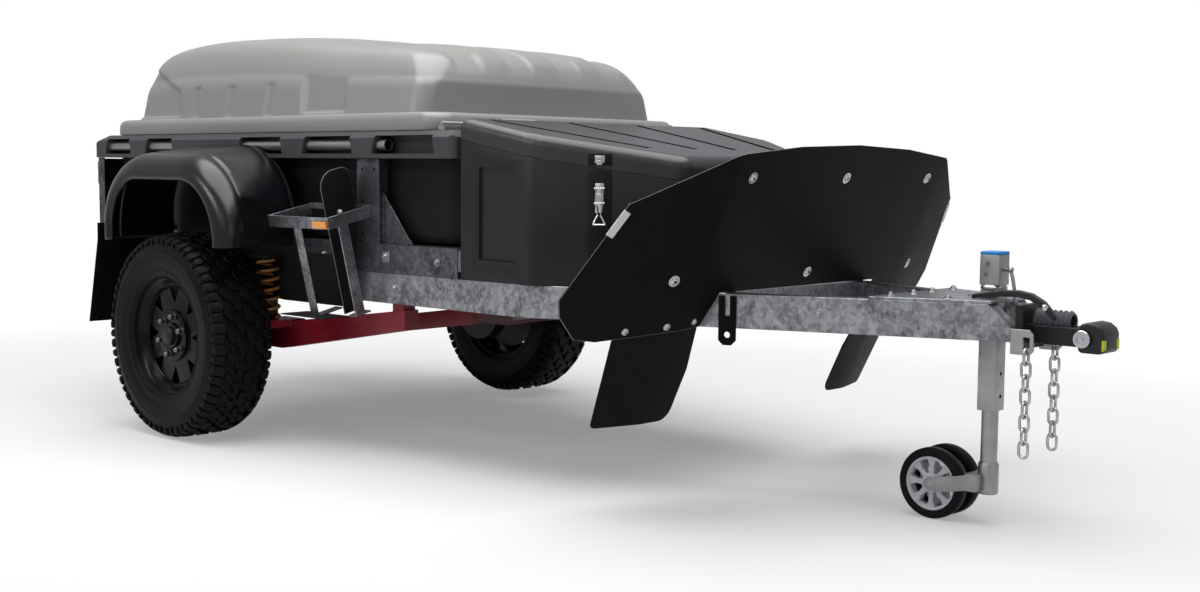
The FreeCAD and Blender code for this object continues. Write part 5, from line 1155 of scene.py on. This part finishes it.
bands, plates, loops, catch, lid_bands = (bmesh.new() for _ in range(5))
for side in (-1, 1):
    tab(bands, side, *BAND, 0.632, 0.972, -0.003, 0.0012)
    tab(lid_bands, side, *BAND, 0.986, 1.022, -0.003, 0.0012)
    tab(plates, side, -0.013, 0.013, 0.846, 0.934, 0.0, 0.003)
    tab(plates, side, -0.011, 0.011, 0.868, 0.905, 0.003, 0.010)
    tab(plates, side, -0.008, 0.008, 0.905, 0.9305, 0.003, 0.0085)
    tab(catch, side, -0.015, 0.015, 0.994, 1.016, -0.002, 0.0035)
    tab(catch, side, -0.009, 0.009, 0.988, 1.002, 0.0035, 0.0085)
    for z in (0.918, 0.874):
        rod(plates, latch_spot(side, -0.016, 0.008, z), latch_spot(side, 0.016, 0.008, z), 0.0035, 12)
    wires = [(end * first, high, end * last, low, radius) for end in (-0.012, 0.012)
             for first, high, last, low, radius in (
                 (1.0, 0.874, 0.8, 0.917, 0.0022), (0.8, 0.870, 0.35, 0.838, 0.0022),
                 (0.35, 0.839, 1.5, 0.812, 0.0024))]
    for first, high, last, low, radius in wires + [(-0.0188, 0.811, 0.0188, 0.811, 0.0024)]:
        rod(loops, latch_spot(side, first, WIRE_OUT, high), latch_spot(side, last, WIRE_OUT, low), radius, 10)
for bm, width in ((plates, 0.0008), (catch, 0.0008), (bands, 0.0015), (lid_bands, 0.0015)):
    rounded(bm, width)
piece(lid_bands, "latch_lid_bands", "box_lid", tub_black, SLOT["box_lid"])
piece(bands, "latch_bands", "chassis", tub_black, SLOT["front_box"])
piece(plates, "latch_plates", BODY["box_latches"], chrome, SLOT["box_latches"], "box_latches")
piece(loops, "latch_loops", "chassis", chrome, SLOT["box_latches"])
piece(catch, "latch_catches", "box_lid", chrome, SLOT["box_latches"])

# %% [markdown]
# ## Jockey wheels
# Two moulded wheels share one axle. Each hub is a rim, a core and eight spokes that widen outwards,
# which leaves the triangular windows of the real wheel. The solid tyre is a turned, crowned ring.

# %% Twin jockey wheels
SPOKES = 8
NARROWER = 0.87
low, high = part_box("jockey_wheels")
jockey_centre = (low + high) / 2
jockey_radius = (high.x - low.x) / 2
core = jockey_radius - 0.0245
# Distance in from the tread, and share of half the wheel's width
TYRE_EDGE = ((0.024, -0.86), (0.018, -0.97), (0.009, -1.0), (0.003, -0.86), (0.0005, -0.6))
tyre_line = TYRE_EDGE + ((0.0, 0.0),) + tuple((deep, -wide) for deep, wide in reversed(TYRE_EDGE))
# Radius, and share of half the wheel's width
RIM_LINE = ((core, -0.84), (core, 0.84), (core - 0.005, 0.84), (core - 0.009, 0.5), (core - 0.009, -0.5),
            (core - 0.005, -0.84))
CORE_LINE = ((0.0105, -0.9), (0.026, -0.9), (0.029, -0.6), (0.029, 0.6), (0.026, 0.9), (0.0105, 0.9))
SPOKE_LINE = ((0.027, 0.30), (0.050, 0.13), (core - 0.006, 0.20), (core - 0.006, -0.20), (0.050, -0.13),
              (0.027, -0.30))
tyres, hubs = bmesh.new(), bmesh.new()
for low, high in islands("jockey_wheels"):
    size = high - low
    if size.x < jockey_radius:
        inset = Vector((size.x, 0, size.z)) / 2
        rod(hubs, low + inset, high - inset, size.x / 2, 24)
        continue
    middle = Vector((jockey_centre.x, (low.y + high.y) / 2, jockey_centre.z))
    half = size.y / 2 * NARROWER
    turned(tyres, [(jockey_radius - deep, half * wide) for deep, wide in tyre_line], middle, "Y", 64)
    turned(hubs, [(radius, half * wide) for radius, wide in RIM_LINE], middle, "Y", 64)
    turned(hubs, [(radius, half * wide) for radius, wide in CORE_LINE], middle, "Y", 32)
    for index in range(SPOKES):
        turns = [(radius, math.tau * index / SPOKES + spread) for radius, spread in SPOKE_LINE]
        corners = [middle + Vector((radius * math.cos(turn), -half * 0.55, radius * math.sin(turn)))
                   for radius, turn in turns]
        pushed(hubs, corners, Vector((0, half * 1.1, 0)))
rounded(hubs, 0.0008, 1)
piece(tyres, "jockey_tyres", "jockey_wheels", roller_rubber, SLOT["jockey_wheels"], "jockey_wheels")
piece(hubs, "jockey_hubs", "jockey_wheels", hub_white, SLOT["jockey_wheels"])

# %% [markdown]
# A bent plate yoke holds the axle from outside the wheels. Its arms are pushed outlines, joined by a
# block behind the wheels, and its socket is turned round the line of the stem.

# %% Jockey yoke
STEM_X, STEM = 2.752, at(2.752, 0, 0)
AXLE_X, AXLE_Z = 2.602, 0.101
ARM_Y, ARM_THICK = 0.0586, 0.003
ARM_OUTLINE = ((2.748, 0.147), (2.730, 0.147), (2.690, 0.136), (2.640, 0.127), (2.602, 0.121), (2.587, 0.112),
               (2.582, 0.101), (2.587, 0.090), (2.602, 0.082), (2.660, 0.086), (2.715, 0.098), (2.748, 0.098))
SOCKET = ((0.0, 0.086), (0.0255, 0.088), (0.0285, 0.092), (0.0285, 0.170), (0.0245, 0.177), (0.0, 0.179))
bm = bmesh.new()
for side in (-1, 1):
    pushed(bm, [at(x, side * ARM_Y, z) for x, z in ARM_OUTLINE], Vector((0, side * ARM_THICK, 0)))
    rod(bm, at(AXLE_X, side * 0.0580, AXLE_Z), at(AXLE_X, side * 0.0622, AXLE_Z), 0.0115, 6)
block(bm, at(2.712, -0.0588, 0.098), at(2.748, 0.0588, 0.147))
rounded(bm, 0.0022)
turned(bm, SOCKET, STEM, "Z", 36, closed=False)
rod(bm, at(AXLE_X, -0.0600, AXLE_Z), at(AXLE_X, 0.0600, AXLE_Z), 0.0070)
piece(bm, "jockey_yoke", BODY["jockey_fork"], bright_zinc, SLOT["jockey_fork"], "jockey_fork")

# %% [markdown]
# The case above is a square tube. A spin of only four steps makes one: its corners lie on a circle,
# so the half width grows by the root of two, and an eighth of a turn squares it up to the trailer.

# %% Square case
def square_tube(bm, half, low, top, inner=None):
    """A square tube, or a square bar, round the stem's line."""
    outer = half * math.sqrt(2.0)
    before = len(bm.verts)
    if inner:
        inner *= math.sqrt(2.0)
        turned(bm, [(outer, low), (outer, top), (inner, top), (inner, low)], STEM, "Z", 4)
    else:
        turned(bm, [(0.0, low), (outer, low), (outer, top), (0.0, top)], STEM, "Z", 4, closed=False)
    bm.verts.ensure_lookup_table()
    bmesh.ops.rotate(bm, cent=STEM, verts=bm.verts[before:], matrix=Matrix.Rotation(math.pi / 4, 3, "Z"))


COLLAR = ((0.0, 0.656), (0.033, 0.656), (0.036, 0.659), (0.036, 0.664), (0.031, 0.670), (0.0, 0.670))
bm = bmesh.new()
square_tube(bm, 0.0268, 0.322, 0.658, 0.0238)
square_tube(bm, 0.0290, 0.669, 0.752)
rounded(bm, 0.0042, 3)
turned(bm, COLLAR, STEM, "Z", 40, closed=False)
for x, z, wide in ((2.742, 0.729, 0.015), (2.738, 0.699, 0.010)):
    bolt(bm, at(x, -0.029, z), (0, -1, 0), wide, wide * 0.8)
piece(bm, "jockey_sleeve", BODY["jockey_case"], bright_zinc, SLOT["jockey_case"], "jockey_case")
# The pin holes are black discs on the case: painted shade where the holes would be dark.
bm = bmesh.new()
for z in (0.425, 0.362):
    rod(bm, at(STEM_X + 0.0265, 0.004, z), at(STEM_X + 0.0271, 0.004, z), 0.0055, 20)
piece(bm, "jockey_pin_holes", BODY["jockey_case"], painted_shade_black, SLOT["jockey_case"])

# %% [markdown]
# On top sit a blue plastic cap and the winding handle, a rod that is bent down beside the case. It is
# made of short straight rods from bend to bend.

# %% Cap and handle
HANDLE_KNOB = 0.0088
HANDLE_BENDS = ((2.7800, 0.7125), (2.8005, 0.7125), (2.8070, 0.6900), (2.8130, 0.6600), (2.8185, 0.6225))
bm = bmesh.new()
square_tube(bm, 0.0296, 0.751, 0.7615)
rounded(bm, 0.0035, 3)
piece(bm, "jockey_top_cap", BODY["jockey_cap"], cap_blue, SLOT["jockey_cap"], "jockey_cap")
bm = bmesh.new()
bmesh.ops.create_uvsphere(bm, u_segments=20, v_segments=12, radius=HANDLE_KNOB,
                          matrix=Matrix.Translation(at(2.8005, 0, 0.7125)))
for (x, z), (next_x, next_z) in zip(HANDLE_BENDS, HANDLE_BENDS[1:]):
    rod(bm, at(x, 0, z), at(next_x, 0, next_z), 0.0050)
piece(bm, "jockey_handle", BODY["jockey_crank"], bright_zinc, SLOT["jockey_crank"], "jockey_crank",
      smooth=60.0)

# %% [markdown]
# ## Coupling
# The coupling is a casting under a rubber shroud. Its side profile is pushed to full width and
# bevelled widely. The silver discs at its sides are turned with a groove, as the real pins are.

# %% Coupling shroud, pins and patches
SHROUD = ((3.0205, 0.514), (3.0205, 0.573), (3.029, 0.586), (3.046, 0.590), (3.070, 0.586), (3.086, 0.574),
          (3.0918, 0.560), (3.0905, 0.517), (3.082, 0.509), (3.030, 0.509))
SHROUD_HALF = 0.0478
SHROUD_TAB = ((3.060, -0.030), (3.0918, -0.022), (3.0918, 0.022), (3.060, 0.030))
PIN_DISC = ((0.0, 0.0645), (0.006, 0.0645), (0.0065, 0.0615), (0.012, 0.0615), (0.0125, 0.0640),
            (0.0215, 0.0640), (0.0232, 0.0620), (0.0232, 0.0535), (0.017, 0.0530), (0.017, 0.0470),
            (0.0, 0.0470))
# Place across, half width, rear, front and foot of each yellow patch
PATCHES = ((0.046, 0.0015, 3.0868, 3.0915, 0.519), (0.0385, 0.0065, 3.0902, 3.0919, 0.521))
bm = bmesh.new()
pushed(bm, [at(x, -SHROUD_HALF, z) for x, z in SHROUD], Vector((0, 2 * SHROUD_HALF, 0)))
rounded(bm, 0.0075, 4)
start = len(bm.faces)
pushed(bm, [at(x, y, 0.5505) for x, y in SHROUD_TAB], Vector((0, 0, 0.004)))
block(bm, at(3.026, -0.0479, 0.549), at(3.088, 0.0479, 0.553))
rounded(bm, 0.001, 1, start=start)
piece(bm, "coupling_shroud", BODY["coupling_head"], shroud_black, SLOT["coupling_head"], "coupling_head",
      smooth=40.0)
bm = bmesh.new()
for side in (-1, 1):
    turned(bm, PIN_DISC, at(3.037, 0, 0.547), "Y", 40, closed=False, sign=side)
piece(bm, "coupling_pin_discs", "chassis", chrome, SLOT["coupling_pins"], "coupling_pins")
bm = bmesh.new()
for side in (-1, 1):
    for y, half, rear, front, low in PATCHES:
        block(bm, at(rear, side * y - half, low), at(front, side * y + half, 0.546))
piece(bm, "coupling_patches", "chassis", patch_yellow, SLOT["coupling_head"])

# %% [markdown]
# Behind the head a rubber bellows keeps dirt out of the sliding shaft: a zigzag line, turned. The
# brake lever lies over it, a bent arm cut from plate, so it is one outline with an upper and a lower
# edge.

# %% Bellows and brake lever
FOLDS, FOLD_PITCH = 7, 0.0155
LEVER_TOP = ((2.700, 0.6415), (2.745, 0.6500), (2.800, 0.6600), (2.850, 0.6625), (2.890, 0.6560),
             (2.925, 0.6370), (2.948, 0.6130), (2.9575, 0.5940))
LEVER_UNDER = ((2.9520, 0.5870), (2.940, 0.6000), (2.916, 0.6200), (2.884, 0.6380), (2.848, 0.6440),
               (2.800, 0.6420), (2.745, 0.6350), (2.702, 0.6345))
PIVOT_HEAD = ((0.0, 0.0080), (0.0055, 0.0070), (0.0085, 0.0040), (0.0090, 0.0), (0.0085, -0.0040),
              (0.0, -0.0060))
bm = bmesh.new()
folds = [(0.018, 0.0)]
for index in range(FOLDS):
    folds += [(0.0300, index * FOLD_PITCH), (0.0235, index * FOLD_PITCH + 0.0078)]
turned(bm, folds + [(0.018, 0.1)], at(2.886, 0, 0.5835), "X", 36)
piece(bm, "coupling_bellows", "chassis", sleeve_grey, SLOT["coupling_base"], smooth=25.0)
bm = bmesh.new()
pushed(bm, [at(x, -0.0535, z) for x, z in LEVER_TOP + LEVER_UNDER], Vector((0, 0.0185, 0)))
rounded(bm, 0.0035, 3, 30.0)
piece(bm, "brake_arm", "chassis", shroud_black, SLOT["brake_lever"], "brake_lever", smooth=40.0)
bm = bmesh.new()
turned(bm, PIVOT_HEAD, at(2.930, -0.0545, 0.6210), "Y", 24, closed=False, sign=-1)
rod(bm, at(2.712, -0.0575, 0.6385), at(2.712, -0.0315, 0.6385), 0.0060)
piece(bm, "brake_pivots", "chassis", chrome, SLOT["coupling_pins"])

# %% [markdown]
# ## Lamps
# Each tail lamp is a black tray with an amber lens over a red one; the side marker is one small
# amber lens on a bezel. Lenses are crowned by a wide bevel.

# %% Tail lamps and markers
trays, reds, ambers = bmesh.new(), bmesh.new(), bmesh.new()
for low, high in islands("tail_lamps"):
    block(trays, low + Vector((0.010, 0, 0)), high)
    block(reds, low + Vector((0.0005, 0.004, 0.004)), Vector((high.x - 0.004, high.y - 0.004, low.z + 0.050)))
    block(ambers, Vector((low.x + 0.0005, low.y + 0.004, low.z + 0.053)), high - Vector((0.004, 0.004, 0.004)))
for bm in (trays, reds, ambers):
    rounded(bm, 0.0035, 3)
piece(trays, "lamp_trays", "chassis", tub_black, SLOT["tail_lamps"], "tail_lamps")
piece(reds, "lamp_reds", "chassis", lens_red, SLOT["tail_lamps"])
piece(ambers, "lamp_ambers", "chassis", lens_amber, SLOT["side_markers"])

# %% [markdown]
# ## Fasteners
# Bolts, nuts and holes are small, but bare plates look unreal without them. They are all made by one
# helper and kept in two pieces: the bolts bright, and the holes as thin black discs of painted shade.

# %% Bolts and holes
SILL_BOLTS = (-0.90, -0.62, 0.52, 1.12)
POST_HOLES = ((0.736, 0.968), (0.800, 0.968), (0.736, 0.752), (0.736, 0.86))
PLATE_BOLTS = ((2.53, 0.17), (2.53, 0.05), (2.68, 0.12))
# Half the drawbar's width where it starts to draw in, and by how much for each metre
DRAWBAR_REAR, DRAWBAR_HALF, DRAWBAR_SLOPE = 1.5, 0.6, 0.3822
bolts, holes = bmesh.new(), bmesh.new()
for side in (-1, 1):
    sideways = Vector((0, side, 0))
    bolt(bolts, at(0.780, side * 0.727, 0.827), WAYS["X"], 0.013, 0.010)
    block(bolts, at(0.848, side * 0.603 - 0.003, 0.661), at(0.884, side * 0.603 + 0.003, 0.697))
    bolt(bolts, at(0.866, side * 0.606, 0.679), sideways, 0.019, 0.014)
    for x in (0.880, 0.940):
        bolt(bolts, at(x, side * 0.560, 0.724), WAYS["Z"], 0.013, 0.011)
    for x in SILL_BOLTS:
        bolt(bolts, at(x, side * 0.600, 0.672), sideways, 0.016, 0.013)
    bolt(bolts, at(0.905, side * DRAWBAR_HALF, 0.575), sideways, 0.021, 0.017)
    beam_y = DRAWBAR_HALF - (2.36 - DRAWBAR_REAR) * DRAWBAR_SLOPE
    bolt(bolts, at(2.36, side * beam_y, 0.575), (0.357, side * 0.934, 0), 0.021, 0.017)
    for x, z in POST_HOLES:
        # Each hole is a thin black disc on the post: painted shade.
        rod(holes, at(x, side * 0.598, z), at(x, side * 0.6004, z), 0.0048)
    for x, y in PLATE_BOLTS:
        bolt(bolts, at(x, side * y, 0.633), WAYS["Z"])
rounded(bolts, 0.0006, 1, 40.0)
piece(bolts, "small_bolts", "chassis", bright_zinc, "galvanised_steel")
piece(holes, "small_holes", "chassis", painted_shade_black, "galvanised_steel")

# %% [markdown]
# ## Floor, light and camera
# The trailer stands on a plain pale floor under large soft lamps. The floor and the sky light it
# softly, but the camera sees pure white where it looks past them. A Light Path node tells the two
# apart. A mirror image of that white would turn black paint grey, so mirrors see only a share of it.

# %% White for the camera alone
MIRRORED_WHITE = 0.35


def white_to_camera(nodes, lit, strength):
    """Mixes a white glow over what lights the scene, only where the camera or a mirror sees it."""
    rays = nodes.add("ShaderNodeLightPath").outputs
    camera, mirrored, through = (Value(nodes, rays["Is " + kind + " Ray"])
                                 for kind in ("Camera", "Glossy", "Transmission"))
    share = camera.larger(mirrored * MIRRORED_WHITE).larger(through) * strength
    return nodes.add("ShaderNodeMixShader", None, {0: share, 1: lit})


# %% [markdown]
# The floor is not all white: near the trailer the shadow has to show, so the white only fades in
# with the distance from the middle.

# %% Floor
bm = bmesh.new()
bmesh.ops.create_grid(bm, x_segments=2, y_segments=2, size=60.0)
mesh = bpy.data.meshes.new("floor")
bm.to_mesh(mesh)
bm.free()
floor = bpy.data.objects.new("floor", mesh)
bpy.context.scene.collection.objects.link(floor)
ground = Finish("floor", (0.62, 0.62, 0.62), 0.9)
glow = ground.add("ShaderNodeEmission", None, {"Color": (1.0, 1.0, 1.0, 1.0), "Strength": 1.0})
across, along = ground.axis(0), ground.axis(1)
away = (across * across * 0.5 + along * along) ** 0.5
paleness = ((away - 0.9) * 0.4).clamp() * 0.75 + 0.25
mixed = white_to_camera(ground, ground.shader.outputs[0], paleness)
ground.feed(mixed.inputs[2], glow.outputs[0])
ground.feed(ground.tree.nodes["Material Output"].inputs[0], mixed.outputs[0])
mesh.materials.append(ground.material)

# %% [markdown]
# The world is a faint cool sky for the light, and white for the camera.

# %% World
world = bpy.data.worlds.new("studio")
bpy.context.scene.world = world
world.use_nodes = True
sky = world.node_tree.nodes["Background"]
sky.inputs[0].default_value = (0.9, 0.93, 1.0, 1.0)
sky.inputs[1].default_value = 0.22
studio = Nodes(world.node_tree)
white = studio.add("ShaderNodeBackground", None, {0: (1.0, 1.0, 1.0, 1.0)})
mixed = white_to_camera(studio, sky.outputs[0], 1.0)
studio.feed(mixed.inputs[2], white.outputs[0])
studio.feed(world.node_tree.nodes["World Output"].inputs[0], mixed.outputs[0])

# %% [markdown]
# A photographer would hang one large softbox over such a trailer for its soft shadow, and set weaker
# ones beside it for the gleam along its sides. The narrow strip draws the highlight on the mudguard.

# %% Lamps
def softbox(name, place, target, width, height, power):
    light = bpy.data.lights.new(name, "AREA")
    light.shape = "RECTANGLE"
    light.size = width
    light.size_y = height
    light.energy = power
    lamp = bpy.data.objects.new(name, light)
    bpy.context.scene.collection.objects.link(lamp)
    turn = (Vector(target) - Vector(place)).to_track_quat("-Z", "Y").to_matrix().to_4x4()
    lamp.matrix_world = Matrix.Translation(Vector(place)) @ turn
    print(name, power, "W")


# Name, place, target, width, height and power
softbox("overhead", (0.2, -0.5, 4.6), (0.0, 0.0, 0.6), 6.5, 4.5, 430.0)
softbox("near_side", (1.5, -5.5, 3.2), (0.0, 0.0, 0.7), 4.0, 1.6, 22.0)
softbox("nose_side", (6.0, -1.0, 2.6), (0.6, 0.0, 0.7), 2.4, 2.0, 9.0)
softbox("strip_near", (-1.6, -4.2, 2.7), (-1.1, -0.9, 0.8), 2.6, 0.2, 34.0)

# %% [markdown]
# The camera was worked out from measured points of the trailer: where it stood, how it was turned and
# how long its lens was, in pixels of the picture.

# %% Camera
CAMERA_PLACE = at(4.741, -3.713, 0.982)
FOCAL_PIXELS, IMAGE_WIDE, SENSOR = 1487.52, 1200, 36.0
turn, tilt, roll = (math.radians(angle) for angle in (43.054, 4.958, 0.479))
right = Vector((math.cos(turn), math.sin(turn), 0.0))
ahead = Vector((-math.sin(turn) * math.cos(tilt), math.cos(turn) * math.cos(tilt), -math.sin(tilt)))
above = right.cross(ahead)
across = right * math.cos(roll) + above * math.sin(roll)
upward = above * math.cos(roll) - right * math.sin(roll)
lens = bpy.data.cameras.new("camera")
lens.sensor_width = SENSOR
lens.lens = FOCAL_PIXELS / IMAGE_WIDE * SENSOR
camera = bpy.data.objects.new("camera", lens)
bpy.context.scene.collection.objects.link(camera)
camera.matrix_world = Matrix.Translation(CAMERA_PLACE) @ Matrix((across, upward, -ahead)).transposed().to_4x4()
bpy.context.scene.camera = camera
bpy.context.scene.view_settings.view_transform = "Standard"
